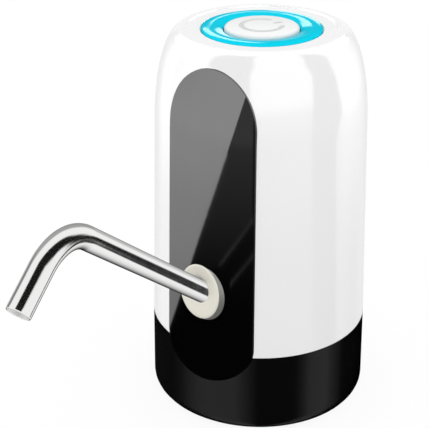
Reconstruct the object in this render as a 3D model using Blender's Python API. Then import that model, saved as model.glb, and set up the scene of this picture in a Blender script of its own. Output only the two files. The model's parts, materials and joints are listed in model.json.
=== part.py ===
"""Rechargeable pump that stands on the neck of a water bottle and pours through a bent steel spout.

Run it in Blender. Lengths are in metres and +Z is up. The spout points along -Y, and the origin is on the
floor under the middle of the whole pump, spout included.
"""
from math import cos, hypot, pi, radians, sin, sqrt

import bmesh
import bpy
from mathutils import Matrix, Vector

# Fits that all pieces share
gap = 0.0003
overrun = 0.003
weld = 0.000001

# Facets round a circle and along a curve
body_steps = 36
ring_steps = 32
part_steps = 16
screw_steps = 8
barb_steps = 10
tube_sides = 12
hose_sides = 9
arch_steps = 8
outline_steps = 12
crest_steps = 5
round_steps = 3
smooth_angle = radians(35)
fit_rounds = 8

# Outline of the body about its vertical axis
wall = 0.0024
collar_width = 0.0080
seam_draft = 0.00035
side_draft = 0.00195
seam_rise = 0.0020
shoulder_drop = 0.02865
crown_edge = 0.0016

# White upper shell
rim_width = 0.0012
dish_depth = 0.0005
spigot_depth = 0.0016
spigot_thickness = 0.0012
spigot_rise = 0.0029

# Black base collar, which goes over the bottle's neck
neck_bore_radius = 0.0290
neck_depth = 0.0230
deck_thickness = 0.0036
neck_wall = 0.0022
foot_round = 0.0042
foot_thickness = 0.0026
mouth_chamfer = 0.0008
groove_depth = 0.0008
groove_bottom = 0.0080

# Silicone gasket that grips the bottle's neck
gasket_height = 0.0080
gasket_lip = 0.0014
gasket_bead = 0.0003
gasket_beads = 2

# Glossy front panel, let into the shell and the collar
panel_half_width = 0.0160
panel_seam_rise = 0.0030
panel_shoulder_rise = 0.0047
panel_top_arch = 0.0188
panel_bottom_arch = 0.0137
panel_proud = 0.0004
panel_depth = 0.0012

# Steel spout, measured along its own line from the face of the panel
mouth_rise = 0.0218
spout_rise = radians(37.2)
spout_radius = 0.0035
spout_bore_radius = 0.0030
spout_insertion = 0.0180
spout_straight = 0.0760
spout_bend_radius = 0.0159
spout_turn = radians(75.6)
spout_tip = 0.0133
bend_steps = 10

# Silicone grommet round the spout
grommet_radius = 0.0071
grommet_neck_radius = 0.0056
grommet_proud = 0.0035
grommet_round = 0.0007

# Socket behind the grommet, and the soft sleeve in it that grips the spout
sleeve_thickness = 0.0015
sleeve_length = 0.0080
socket_wall = 0.0020

# Hoses and the barbs that they are pushed over
hose_bore_radius = 0.0025
hose_wall = 0.0010
barb_length = 0.0080
barb_bore_radius = 0.0012
barb_waist = 0.0004
barb_rings = 2
barb_crest_share = 0.3
barb_back_share = 0.9
hose_steps = 9

# Inlet nipple through the deck
nipple_radius = 0.0040
nipple_length = 0.0130
nipple_bore_radius = 0.0017
nipple_rings = 3
nipple_grip_length = 0.00975
nipple_crest_share = 0.8
flange_radius = 0.0064
flange_thickness = 0.0018
washer_thickness = 0.0009

# Chassis that carries everything inside
floor_thickness = 0.0025
post_radius = 0.0030
front_post_x = 0.0173
front_post_y = -0.0173
back_post_x = 0.0095
back_post_y = 0.0225
post_overlap = 0.0003
top_plate_radius = 0.0278
top_plate_thickness = 0.0025
hose_room = 0.0191
wire_room = 0.0035
machine_room = 0.0012
wire_hole_radius = 0.0060
holder_wall = 0.0016
pump_legs = 3

# Diaphragm pump, from the water end at the bottom to the motor on top
pump_x = 0.0135
pump_y = 0.0040
head_radius = 0.0142
cover_thickness = 0.0040
barb_circle = 0.0085
valve_plate_thickness = 0.0024
valve_hole_radius = 0.0009
valve_sheet_thickness = 0.0008
diaphragm_thickness = 0.0010
cups = 3
cup_circle = 0.0056
cup_radius = 0.0042
cup_wall = 0.0008
cup_height = 0.0050
stud_radius = 0.0012
case_height = 0.0150
case_cavity_radius = 0.0102
case_top = 0.0020
screw_circle = 0.0119
wobble_thickness = 0.0016
wobble_boss_radius = 0.0032
wobble_boss_height = 0.0030
crank_radius = 0.0060
crank_thickness = 0.0020
crank_web = 0.0005
crank_throw = 0.0010
pin_radius = 0.0008
pin_length = 0.0026

# Motor
motor_radius = 0.0122
motor_length = 0.0258
motor_wall = 0.0008
boss_radius = 0.0040
boss_height = 0.0014
shaft_radius = 0.0010
armature_radius = 0.0076
armature_length = 0.0130
armature_lift = 0.0042
armature_slot_width = 0.0022
commutator_radius = 0.0026
commutator_length = 0.0030
commutator_gap = 0.0009
winding_neck_radius = 0.0020
armature_slots = 3
magnet_arc_share = 0.66
cap_flange = 0.0018
cap_plug = 0.0025
terminal_width = 0.0024
terminal_height = 0.0032
terminal_thickness = 0.0006
terminal_spacing = 0.0120
motor_screw_circle = 0.0080
motor_screw_turn = radians(60)
damper_thickness = 0.0015
damper_height = 0.0090
motor_grip = 0.0130

# Battery
battery_x = -0.0160
battery_y = 0.0040
battery_radius = 0.0091
battery_length = 0.0645
battery_round = 0.0010
battery_button_radius = 0.0030
battery_button_height = 0.0006
battery_board_thickness = 0.0010
cradle_height = 0.0300
cradle_window_height = 0.0210
cradle_window_width = 0.0110
battery_grip = 0.0057

# Control board under the button
board_radius = 0.0205
board_thickness = 0.0016
board_screw_circle = 0.0176
led_count = 6
led_circle = 0.0158
led_length = 0.0035
led_width = 0.0028
led_height = 0.0019
switch_size = 0.0060
switch_height = 0.0035
switch_round = 0.0004
plunger_radius = 0.0016
plunger_rise = 0.0040
plunger_depth = 0.0016

# Light ring
ring_radius = 0.0194
ring_inner_radius = 0.0123
ring_crest = 0.0006
ring_inner_drop = 0.0006
ring_flange_radius = 0.0215
ring_flange_thickness = 0.0012
guide_thickness = 0.0032

# Power button
button_lift = 0.0007
button_round = 0.0010
button_dome = 0.0003
button_flat_share = 0.55
button_fall_share = 0.7
button_wall = 0.0016
button_flange_radius = 0.0137
button_flange_thickness = 0.0012
button_stem_radius = 0.0022
button_stem_length = 0.00785
button_travel = 0.0005

# Charging port at the back
port_rise = 0.0099
port_width = 0.0075
port_thickness = 0.0026
port_length = 0.0056
port_wall = 0.0003
port_recess = 0.0009
port_funnel = 0.0005
port_step = 0.0006
tongue_width_share = 0.6
charge_board_half_width = 0.0061
charge_board_length = 0.0150
charge_board_thickness = 0.0012

# Self-tapping screws
base_screw_radius = 0.0013
base_screw_length = 0.0120
base_screw_head_radius = 0.0025
base_screw_head = 0.0016
small_screw_radius = 0.0008
small_screw_head_radius = 0.0015
small_screw_head = 0.0010
screw_flat_share = 0.7
board_screw_length = 0.0044
motor_screw_length = 0.0046
pump_screw_length = 0.0130

# Heights worked out from the sizes above, from the deck up through the pump and the motor to the top
deck_top = neck_depth + deck_thickness
seam_height = deck_top + seam_rise
floor_bottom = deck_top + gap
floor_top = floor_bottom + floor_thickness
mouth_height = seam_height + mouth_rise
port_height = seam_height + port_rise
pump_bottom = floor_top + hose_room
cover_top = pump_bottom + cover_thickness
sheet_bottom = cover_top + gap
valve_plate_bottom = sheet_bottom + valve_sheet_thickness + gap
skin_bottom = valve_plate_bottom + valve_plate_thickness + gap
skin_top = skin_bottom + diaphragm_thickness
case_bottom = skin_top + gap
case_end = case_bottom + case_height
can_bottom = case_end + gap
can_top = can_bottom + motor_length
cap_bottom = can_top + gap
terminal_bottom = cap_bottom + cap_flange - gap
cell_top = floor_top + gap + battery_length
battery_board_bottom = cell_top + battery_button_height + gap
battery_board_top = battery_board_bottom + battery_board_thickness
plate_bottom = max(terminal_bottom + terminal_height, battery_board_top) + wire_room
top_plate_height = plate_bottom + top_plate_thickness
board_bottom = top_plate_height + gap
board_top = board_bottom + board_thickness
switch_bottom = board_top + gap
switch_top = switch_bottom + switch_height
stem_end = switch_top + plunger_rise + gap
ring_top = stem_end + button_stem_length + button_wall - button_lift
plate_under = ring_top - wall
crown_height = ring_top + dish_depth
shoulder_height = crown_height - shoulder_drop
panel_straight_bottom = seam_height + panel_seam_rise
panel_straight_top = shoulder_height + panel_shoulder_rise

# Widths worked out from the sizes above. The body is as wide as the neck asks, or the pump if that is more
machine_radius = hypot(pump_x, pump_y) + head_radius + gap + holder_wall + machine_room
foot_radius = max(neck_bore_radius + collar_width, machine_radius + wall + side_draft + seam_draft)
seam_radius = foot_radius - seam_draft
shoulder_radius = seam_radius - side_draft
crown_radius = ring_flange_radius + wall + crown_edge
base_inner_radius = seam_radius - wall
spigot_radius = base_inner_radius - gap
spigot_inner_radius = spigot_radius - spigot_thickness
floor_radius = spigot_inner_radius - gap
spigot_bottom = seam_height - spigot_depth
hose_radius = hose_bore_radius + hose_wall
barb_radius = hose_bore_radius - gap
sleeve_bore_radius = spout_radius + gap
sleeve_radius = sleeve_bore_radius + sleeve_thickness
socket_bore_radius = sleeve_radius + gap
socket_radius = socket_bore_radius + socket_wall
socket_bottom = -(spout_insertion + 2 * gap)
ring_hole_radius = ring_radius + gap
guide_inner_radius = led_circle - guide_thickness / 2
guide_outer_radius = led_circle + guide_thickness / 2
post_places = [
    (-front_post_x, front_post_y),
    (front_post_x, front_post_y),
    (back_post_x, back_post_y),
    (-back_post_x, back_post_y),
]


def body_radius(height):
    """Outer radius of the body: straight to the seam, straight to the shoulder, then a quarter ellipse."""
    if height <= seam_height:
        return foot_radius + (seam_radius - foot_radius) * height / seam_height
    if height <= shoulder_height:
        climb = (height - seam_height) / (shoulder_height - seam_height)
        return seam_radius + (shoulder_radius - seam_radius) * climb
    climb = (height - shoulder_height) / (crown_height - shoulder_height)
    return crown_radius + (shoulder_radius - crown_radius) * sqrt(max(0, 1 - climb ** 2))


mouth_radius = body_radius(mouth_height) + panel_proud
inside_radius = (body_radius(mouth_height + socket_radius / cos(spout_rise)) - wall) * cos(pi / body_steps)
neck_face = sqrt(inside_radius ** 2 - socket_radius ** 2) - mouth_radius


def arc(centre, radii, start, end, steps):
    """Points on part of an ellipse, from one angle to another, with both ends."""
    turns = [start + (end - start) * step / steps for step in range(steps + 1)]
    return [(centre[0] + radii[0] * cos(turn), centre[1] + radii[1] * sin(turn)) for turn in turns]


def circle(radius, height, steps=tube_sides):
    """A level loop of points about the Z axis."""
    return [Vector((x, y, height)) for x, y in arc((0, 0), (radius, radius), 0, 2 * pi, steps)[:-1]]


def finish(name, colour, roughness, metallic=0, alpha=1):
    """A Principled material."""
    made = bpy.data.materials.new(name)
    made.use_nodes = True
    made.diffuse_color = (*colour, alpha)
    shader = made.node_tree.nodes["Principled BSDF"]
    shader.inputs["Base Color"].default_value = (*colour, 1)
    shader.inputs["Roughness"].default_value = roughness
    shader.inputs["Metallic"].default_value = metallic
    shader.inputs["Alpha"].default_value = alpha
    return made


def joint_axis(name, parent, place, turn=(0, 0, 0)):
    """An empty that pieces are placed about."""
    axis = bpy.data.objects.new(name, None)
    bpy.context.collection.objects.link(axis)
    axis.parent = parent
    axis.location = place
    axis.rotation_euler = turn
    return axis


def add_object(name, shape, material, parent, place=(0, 0, 0)):
    """Turn a finished bmesh into an object on its parent."""
    bmesh.ops.remove_doubles(shape, verts=shape.verts, dist=weld)
    bmesh.ops.recalc_face_normals(shape, faces=shape.faces)
    mesh = bpy.data.meshes.new(name)
    shape.to_mesh(mesh)
    shape.free()
    mesh.shade_smooth()
    mesh.set_sharp_from_angle(angle=smooth_angle)
    made = bpy.data.objects.new(name, mesh)
    bpy.context.collection.objects.link(made)
    made.parent = parent
    made.location = place
    if material:
        mesh.materials.append(material)
    else:
        made.hide_render = True
        made.display_type = "WIRE"
    return made


def turned(name, profile, material, parent, place=(0, 0, 0), steps=part_steps):
    """Spin a closed outline of (radius, height) points about the Z axis; an edge on the axis is left out."""
    shape = bmesh.new()
    corners = [shape.verts.new((radius, 0, height)) for radius, height in profile]
    sides = []
    for first, second in zip(corners, corners[1:] + corners[:1]):
        if first.co.x > 0 or second.co.x > 0:
            sides.append(shape.edges.new((first, second)))
    bmesh.ops.spin(
        shape, geom=corners + sides, cent=(0, 0, 0), axis=(0, 0, 1), dvec=(0, 0, 0), angle=2 * pi,
        steps=steps, use_merge=True, use_duplicate=False,
    )
    return add_object(name, shape, material, parent, place)


def tube_profile(outer, inner, bottom, top):
    """The outline of a plain ring."""
    return [(inner, bottom), (outer, bottom), (outer, top), (inner, top)]


def rod_profile(radius, bottom, top):
    """The outline of a solid rod."""
    return [(0, bottom), (radius, bottom), (radius, top), (0, top)]


def skinned(name, loops, material, parent, ring=False, place=(0, 0, 0)):
    """A skin over loops of points: each joins the next, and the ends are capped, or joined in a ring."""
    shape = bmesh.new()
    rows = [[shape.verts.new(point) for point in loop] for loop in loops]
    if ring:
        pairs = zip(rows, rows[1:] + rows[:1])
    else:
        pairs = zip(rows, rows[1:])
        shape.faces.new(rows[0])
        shape.faces.new(rows[-1])
    for low, high in pairs:
        for corners in zip(low, low[1:] + low[:1], high[1:] + high[:1], high):
            shape.faces.new(corners)
    return add_object(name, shape, material, parent, place)


def along(route, radius, sides=tube_sides):
    """Loops of one radius square to a route, each turned as little as can be from the one before."""
    loops = []
    across = Vector((1, 0, 0))
    for index, point in enumerate(route):
        before = route[max(index - 1, 0)]
        after = route[min(index + 1, len(route) - 1)]
        heading = (after - before).normalized()
        across = (across - heading * across.dot(heading)).normalized()
        beside = heading.cross(across)
        loops.append([point + across * x + beside * y for x, y in
                      arc((0, 0), (radius, radius), 0, 2 * pi, sides)[:-1]])
    return loops


def piped(name, route, radius, bore, material, parent, sides=tube_sides):
    """An open pipe along a route."""
    loops = along(route, radius, sides) + along(route, bore, sides)[::-1]
    return skinned(name, loops, material, parent, ring=True)


def block(name, size, centre, material, parent, corner=0):
    """A box, with its upright edges rounded if a corner radius is given."""
    shape = bmesh.new()
    bmesh.ops.create_cube(shape, size=1, matrix=Matrix.Translation(centre) @ Matrix.Diagonal((*size, 1)))
    if corner:
        upright = [edge for edge in shape.edges if edge.verts[0].co.xy == edge.verts[1].co.xy]
        bmesh.ops.bevel(shape, geom=upright, offset=corner, segments=round_steps, affect="EDGES", profile=0.5)
    return add_object(name, shape, material, parent)


def combine(target, operation, others):
    """Cut, join or intersect a piece with others, which stay out of the model themselves."""
    for other in others:
        step = target.modifiers.new(other.name, "BOOLEAN")
        step.operation = operation
        step.solver = "EXACT"
        step.object = other
        other.hide_render = True
        other.display_type = "WIRE"
    return target


def cut(target, *others):
    """Cut others out of a piece."""
    return combine(target, "DIFFERENCE", others)


def join(target, *others):
    """Make others one body with a piece."""
    return combine(target, "UNION", others)


def screw(name, parent, place, radius, length, head_radius, head, material, upside_down=False):
    """A pan-head screw whose head sits under its place, or above it, with the shank going the other way."""
    sign = -1 if upside_down else 1
    profile = [
        (0, -head * sign),
        (head_radius * screw_flat_share, -head * sign),
        (head_radius, 0),
        (radius, 0),
        (radius, (length - radius) * sign),
        (0, length * sign),
    ]
    return turned(name, profile, material, parent, place, screw_steps)


def barb_profile(base, length, direction=1):
    """Outline of a toothed hose barb that stands on base, closed on the axis."""
    points = [(0, base), (barb_radius, base)]
    tooth = length / barb_rings
    for index in range(barb_rings):
        foot = base + direction * tooth * index
        points.append((barb_radius, foot + direction * tooth * barb_crest_share))
        points.append((barb_radius - barb_waist, foot + direction * tooth * barb_back_share))
        if index < barb_rings - 1:
            points.append((barb_radius, foot + direction * tooth))
    points.append((0, base + direction * tooth * (barb_rings - 1 + barb_back_share)))
    return points


def out_to_body(x, y, reach):
    """Where a line beside the spout's axis meets the body's surface, moved out by reach."""
    out = 0
    for _ in range(fit_rounds):
        height = mouth_height + y * cos(spout_rise) + out * sin(spout_rise)
        depth = sqrt((body_radius(height) + reach) ** 2 - x ** 2)
        out = (y * sin(spout_rise) + depth - mouth_radius) / cos(spout_rise)
    return out


def out_to_plane(x, y, face):
    """Where a line beside the spout's axis meets the upright plane that lies face in front of the mouth."""
    return (y * sin(spout_rise) + face) / cos(spout_rise)


def slanted_loop(radius, stop, reach, steps=part_steps):
    """A loop about the spout's axis that ends on the body's surface or on an upright plane."""
    flat = arc((0, 0), (radius, radius), 0, 2 * pi, steps)[:-1]
    return [Vector((x, y, stop(x, y, reach))) for x, y in flat]


def shoulder(radius, top_radius, height, top_height, steps=arch_steps // 2):
    """Quarter ellipse from an upright wall to a level top."""
    return arc((top_radius, height), (radius - top_radius, top_height - height), 0, pi / 2, steps)


def panel_outline(spread):
    """Outline of the front panel seen from the front, made larger all round by spread."""
    half = panel_half_width + spread
    top = arc((0, panel_straight_top), (half, panel_top_arch + spread), 0, pi, outline_steps)
    bottom = arc((0, panel_straight_bottom), (half, panel_bottom_arch + spread), pi, 2 * pi, outline_steps)
    return top + bottom


def panel_body(name, inner, outer, spread, material, parent):
    """The part of a shell between two offsets of the body that lies inside the panel's outline."""
    low = panel_straight_bottom - panel_bottom_arch - spread - overrun
    high = min(panel_straight_top + panel_top_arch + spread + overrun, crown_height - dish_depth)
    bend = shoulder(shoulder_radius, crown_radius, shoulder_height, crown_height, arch_steps)
    heights = [low, seam_height] + [height for _, height in bend if height < high] + [high]
    profile = [(body_radius(height) + outer, height) for height in heights]
    profile += [(body_radius(height) - inner, height) for height in reversed(heights)]
    band = turned(name, profile, material, parent, steps=body_steps)
    shape = bmesh.new()
    front = [shape.verts.new((x, -foot_radius - 2 * overrun, z)) for x, z in panel_outline(spread)]
    face = shape.faces.new(front)
    swept = bmesh.ops.extrude_face_region(shape, geom=[face])
    moved = [item for item in swept["geom"] if isinstance(item, bmesh.types.BMVert)]
    bmesh.ops.translate(shape, verts=moved, vec=(0, foot_radius, 0))
    prism = add_object(name + "_outline", shape, None, parent)
    return combine(band, "INTERSECT", [prism])


def make_shell(parent, material):
    """White upper shell: straight side, tall rounded shoulder, dished top with a hole, spigot below."""
    bottom = seam_height + gap
    profile = [(body_radius(bottom), bottom)]
    profile += shoulder(shoulder_radius, crown_radius, shoulder_height, crown_height, arch_steps)
    profile += [(crown_radius - rim_width, ring_top), (ring_hole_radius, ring_top)]
    profile += [(ring_hole_radius, plate_under)]
    inner = shoulder(shoulder_radius - wall, crown_radius - wall, shoulder_height, plate_under)
    profile += inner[::-1]
    ledge = seam_height + spigot_rise
    step_in = base_inner_radius - spigot_inner_radius
    profile += [(body_radius(ledge + step_in) - wall, ledge + step_in), (spigot_inner_radius, ledge)]
    profile += [(spigot_inner_radius, spigot_bottom), (spigot_radius, spigot_bottom), (spigot_radius, bottom)]
    return turned("upper_shell", profile, material, parent, steps=body_steps)


def make_collar(parent, material):
    """Black base collar: outer wall, foot, inner wall round the bottle's neck, and the deck over it."""
    groove_top = groove_bottom + gasket_height + 2 * gap
    inner_wall_radius = neck_bore_radius + neck_wall
    profile = [(neck_bore_radius + mouth_chamfer, 0)]
    profile += arc((foot_radius - foot_round, foot_round), (foot_round, foot_round), -pi / 2, 0, crest_steps)
    profile += [(seam_radius, seam_height), (base_inner_radius, seam_height)]
    profile += [(base_inner_radius, foot_thickness), (inner_wall_radius, foot_thickness)]
    profile += [(inner_wall_radius, deck_top), (0, deck_top), (0, neck_depth), (neck_bore_radius, neck_depth)]
    profile += [(neck_bore_radius, groove_top), (neck_bore_radius + groove_depth, groove_top)]
    profile += [(neck_bore_radius + groove_depth, groove_bottom), (neck_bore_radius, groove_bottom)]
    profile += [(neck_bore_radius, mouth_chamfer)]
    collar = turned("base_collar", profile, material, parent, steps=body_steps)
    for index, place in enumerate(post_places):
        name = f"base_screw_hole_{index + 1}"
        seat = neck_depth + base_screw_head + 2 * gap
        hole_radius = base_screw_radius + gap
        hole = [
            (0, neck_depth - overrun), (base_screw_head_radius + gap, neck_depth - overrun),
            (base_screw_head_radius + gap, seat), (hole_radius, seat),
            (hole_radius, deck_top + overrun), (0, deck_top + overrun),
        ]
        cut(collar, turned(name, hole, None, parent, (*place, 0), part_steps // 2))
    nipple_hole = rod_profile(nipple_radius + gap, neck_depth - overrun, deck_top + overrun)
    cut(collar, turned("nipple_hole", nipple_hole, None, parent, (pump_x - barb_circle, pump_y, 0)))
    return collar


def make_gasket(parent, material):
    """Silicone ring in the collar's groove, with soft beads that close on the bottle's neck."""
    outer = neck_bore_radius + groove_depth - gap
    inner = neck_bore_radius - gasket_lip
    bottom = groove_bottom + gap
    profile = [(outer, bottom), (outer, bottom + gasket_height)]
    steps = 2 * gasket_beads
    for step in range(steps + 1):
        share = step / steps
        swell = gasket_bead * sin(share * gasket_beads * pi) ** 2
        profile.append((inner - swell, bottom + gasket_height * (1 - share)))
    return turned("neck_gasket", profile, material, parent, steps=body_steps)


def make_ring(parent, material):
    """Light ring: a rounded glossy face, a flange under the shell and a guide that reaches the lamps."""
    under = plate_under - gap
    guide_bottom = board_top + led_height + 2 * gap
    inner_top = ring_top - ring_inner_drop
    middle = (ring_radius + ring_inner_radius) / 2
    half = (ring_radius - ring_inner_radius) / 2
    profile = [(ring_inner_radius, under - ring_flange_thickness), (ring_inner_radius, inner_top)]
    for step in range(1, crest_steps):
        turn = pi * step / crest_steps
        slope = inner_top + (ring_top - inner_top) * (1 - cos(turn)) / 2
        profile.append((middle - half * cos(turn), slope + (ring_crest + ring_inner_drop / 2) * sin(turn)))
    profile += [(ring_radius, ring_top), (ring_radius, under), (ring_flange_radius, under)]
    profile += [(ring_flange_radius, under - ring_flange_thickness)]
    profile += [(guide_outer_radius, under - ring_flange_thickness), (guide_outer_radius, guide_bottom)]
    profile += [(guide_inner_radius, guide_bottom), (guide_inner_radius, under - ring_flange_thickness)]
    return turned("light_ring", profile, material, parent, steps=ring_steps)


def make_button(parent, material):
    """Round power button: low dome, side wall, retaining flange and a stem over the switch."""
    top = ring_top + button_lift
    radius = ring_inner_radius - gap
    flange_top = plate_under - 2 * gap - ring_flange_thickness
    flange_bottom = flange_top - button_flange_thickness
    inside = radius - button_wall
    profile = [(0, top + button_dome), (radius * button_flat_share, top + button_dome * button_fall_share)]
    edge = (radius - button_round, top - button_round)
    profile += arc(edge, (button_round, button_round), pi / 2, 0, round_steps)
    profile += [(radius, flange_top), (button_flange_radius, flange_top)]
    profile += [(button_flange_radius, flange_bottom), (inside, flange_bottom)]
    profile += [(inside, top - button_wall), (button_stem_radius, top - button_wall)]
    profile += [(button_stem_radius, stem_end), (0, stem_end)]
    return turned("power_button", profile, material, parent, steps=ring_steps)


def spout_route():
    """Points of the spout's middle line about its own axis: straight, one bend down, short tip."""
    route = [Vector((0, 0, -spout_insertion)), Vector((0, 0, 0)), Vector((0, 0, spout_straight / 2))]
    centre = (-spout_bend_radius, spout_straight)
    bend = arc(centre, (spout_bend_radius, spout_bend_radius), 0, spout_turn, bend_steps)
    route += [Vector((0, y, z)) for y, z in bend]
    heading = Vector((0, -sin(spout_turn), cos(spout_turn)))
    route.append(route[-1] + heading * spout_tip)
    return route


def make_grommet(parent, material):
    """Silicone grommet along the spout's slant, its flange against the panel and its face upright."""
    seat = panel_proud + gap
    loops = [
        slanted_loop(grommet_neck_radius, out_to_plane, neck_face),
        slanted_loop(grommet_neck_radius, out_to_body, seat),
        slanted_loop(grommet_radius, out_to_body, seat),
    ]
    for step in range(round_steps + 1):
        turn = pi / 2 * step / round_steps
        inset = grommet_round * (1 - cos(turn))
        face = grommet_proud - grommet_round * (1 - sin(turn))
        loops.append(slanted_loop(grommet_radius - inset, out_to_plane, face))
    loops.append(slanted_loop(sleeve_bore_radius, out_to_plane, grommet_proud))
    loops.append(slanted_loop(sleeve_bore_radius, out_to_plane, neck_face))
    return skinned("spout_grommet", loops, material, parent, ring=True)


def make_socket(body, spout_axis, material):
    """Rigid socket behind the shell: slanted cup for the spout, with a level barb that faces the pump."""
    face = neck_face - gap
    loops = [
        circle(socket_bore_radius, socket_bottom, part_steps),
        slanted_loop(socket_bore_radius, out_to_plane, face),
        slanted_loop(socket_radius, out_to_plane, face),
        circle(socket_radius, socket_bottom - socket_wall, part_steps),
    ]
    socket = skinned("outlet_socket", loops, material, spout_axis)
    root, heading, start, foot = outlet_line()
    axis = joint_axis("outlet_barb_axis", body, root, heading.to_track_quat("Z", "Y").to_euler())
    profile = [(0, start), (barb_radius, start)] + barb_profile(foot, barb_length)[1:]
    barb = turned("outlet_barb", profile, None, axis, steps=barb_steps)
    drill = rod_profile(barb_bore_radius, -socket_wall, foot + barb_length + overrun)
    bore = turned("outlet_bore", drill, None, axis, steps=barb_steps)
    return cut(join(socket, barb), bore)


def outlet_line():
    """Root, heading, start and foot of the outlet barb, level and clear of the socket's end."""
    inward = -socket_bottom
    slant = Vector((0, cos(spout_rise), -sin(spout_rise)))
    root = Vector((0, -mouth_radius, mouth_height)) + slant * inward
    heading = Vector((pump_x + barb_circle, pump_y, root.z)) - root
    heading.normalize()
    share = heading.dot(slant)
    across = sqrt(1 - share ** 2)
    start = barb_radius * across / share + gap
    foot = (socket_wall + hose_radius * across) / share + gap
    return root, heading, start, foot


def hose_route(start, leave, end, arrive):
    """Points of a hose that covers a barb at each end and runs between them on one smooth curve."""
    first = start + leave * barb_length
    last = end + arrive * barb_length
    route = [start]
    for step in range(hose_steps + 1):
        share = step / hose_steps
        rest = 1 - share
        route.append(
            first * rest ** 3 + (first + leave * barb_length) * 3 * rest ** 2 * share
            + (last + arrive * barb_length) * 3 * rest * share ** 2 + last * share ** 3
        )
    route.append(end)
    return route


def make_nipple(parent, material):
    """Inlet nipple: ringed stem for the suction tube below the deck, flange and barb above it."""
    flange_bottom = deck_top + washer_thickness + 2 * gap
    flange_top = flange_bottom + flange_thickness
    tooth = nipple_grip_length / nipple_rings
    tip = neck_depth - nipple_length
    profile = [(0, tip), (nipple_radius - 2 * barb_waist, tip)]
    for index in range(nipple_rings):
        foot = tip + tooth * index
        profile.append((nipple_radius, foot + tooth * nipple_crest_share))
        profile.append((nipple_radius - barb_waist, foot + tooth))
    profile += [(nipple_radius - barb_waist, neck_depth), (nipple_radius, neck_depth + gap)]
    profile += [(nipple_radius, flange_bottom), (flange_radius, flange_bottom), (flange_radius, flange_top)]
    profile += [(barb_radius, flange_top)]
    profile += barb_profile(flange_top, barb_length)[2:]
    nipple = turned("inlet_nipple", profile, material, parent, steps=barb_steps)
    bore = rod_profile(barb_bore_radius, tip - overrun, flange_top + barb_length + overrun)
    wide = rod_profile(nipple_bore_radius, tip - 2 * overrun, neck_depth)
    narrow_cut = turned("nipple_bore", bore, None, parent, steps=barb_steps)
    wide_cut = turned("nipple_bore_wide", wide, None, parent, steps=barb_steps)
    return cut(nipple, narrow_cut, wide_cut)


def holder_ring(name, radius, bottom, top, place, parent):
    """A plain ring that becomes part of the chassis."""
    return turned(name, tube_profile(radius + holder_wall, radius, bottom, top), None, parent, (*place, 0))


def make_chassis(parent, material):
    """Moulded chassis: floor, four posts, top plate, seat for the pump, collars for motor and battery."""
    pump_place = (pump_x, pump_y)
    battery_place = (battery_x, battery_y)
    nipple_place = (pump_x - barb_circle, pump_y)
    floor = [(0, floor_bottom), (floor_radius, floor_bottom), (floor_radius, floor_top), (0, floor_top)]
    chassis = turned("chassis", floor, material, parent, steps=body_steps)
    for index, place in enumerate(post_places):
        post = rod_profile(post_radius, floor_bottom + post_overlap, plate_bottom + post_overlap)
        join(chassis, turned(f"post_{index + 1}", post, None, parent, (*place, 0), part_steps // 2))
    plate = rod_profile(top_plate_radius, plate_bottom, top_plate_height)
    join(chassis, turned("top_plate", plate, None, parent, steps=ring_steps))

    seat_inner = barb_circle + hose_radius + 2 * gap
    seat_outer = head_radius + gap
    seat_top = pump_bottom - gap
    seat = [
        (seat_inner, seat_top - holder_wall), (seat_outer + holder_wall, seat_top - holder_wall),
        (seat_outer + holder_wall, cover_top), (seat_outer, cover_top), (seat_outer, seat_top),
        (seat_inner, seat_top),
    ]
    join(chassis, turned("pump_seat", seat, None, parent, (*pump_place, 0)))
    for index in range(pump_legs):
        turn = pi + index * 2 * pi / pump_legs
        spot = (pump_x + seat_outer * cos(turn), pump_y + seat_outer * sin(turn), 0)
        leg = rod_profile(holder_wall, floor_bottom + post_overlap, seat_top - post_overlap)
        join(chassis, turned(f"pump_leg_{index + 1}", leg, None, parent, spot, part_steps // 2))

    collar_radius = motor_radius + damper_thickness + 2 * gap
    join(chassis, holder_ring("motor_collar", collar_radius, can_top - motor_grip,
                              plate_bottom + post_overlap, pump_place, parent))
    battery_hold = battery_radius + gap
    join(chassis, holder_ring("battery_cradle", battery_hold, floor_bottom + post_overlap,
                              floor_top + cradle_height, battery_place, parent))
    join(chassis, holder_ring("battery_collar", battery_hold, cell_top - battery_grip,
                              plate_bottom + post_overlap, battery_place, parent))
    window = (2 * battery_radius, cradle_window_width, cradle_window_height + overrun)
    window_middle = floor_top + cradle_height + (overrun - cradle_window_height) / 2
    window_centre = (battery_x - battery_radius, battery_y, window_middle)
    cut(chassis, block("cradle_window", window, window_centre, None, parent))

    hole = rod_profile(flange_radius + gap, floor_bottom - overrun, floor_top + overrun)
    cut(chassis, turned("nipple_clearance", hole, None, parent, (*nipple_place, 0)))
    wires = rod_profile(wire_hole_radius, plate_bottom - overrun, top_plate_height + overrun)
    cut(chassis, turned("wire_hole", wires, None, parent))
    screw_reach = neck_depth + base_screw_head + base_screw_length + 3 * gap
    for index, place in enumerate(post_places):
        pilot = rod_profile(base_screw_radius + gap, floor_bottom - overrun, screw_reach)
        cut(chassis, turned(f"post_pilot_{index + 1}", pilot, None, parent, (*place, 0), part_steps // 2))
    for index in range(2):
        spot = (board_screw_circle * (1 - 2 * index), 0, 0)
        pilot = rod_profile(small_screw_radius + gap, plate_bottom - overrun, top_plate_height + overrun)
        cut(chassis, turned(f"board_pilot_{index + 1}", pilot, None, parent, spot, part_steps // 2))
    return chassis


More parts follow.
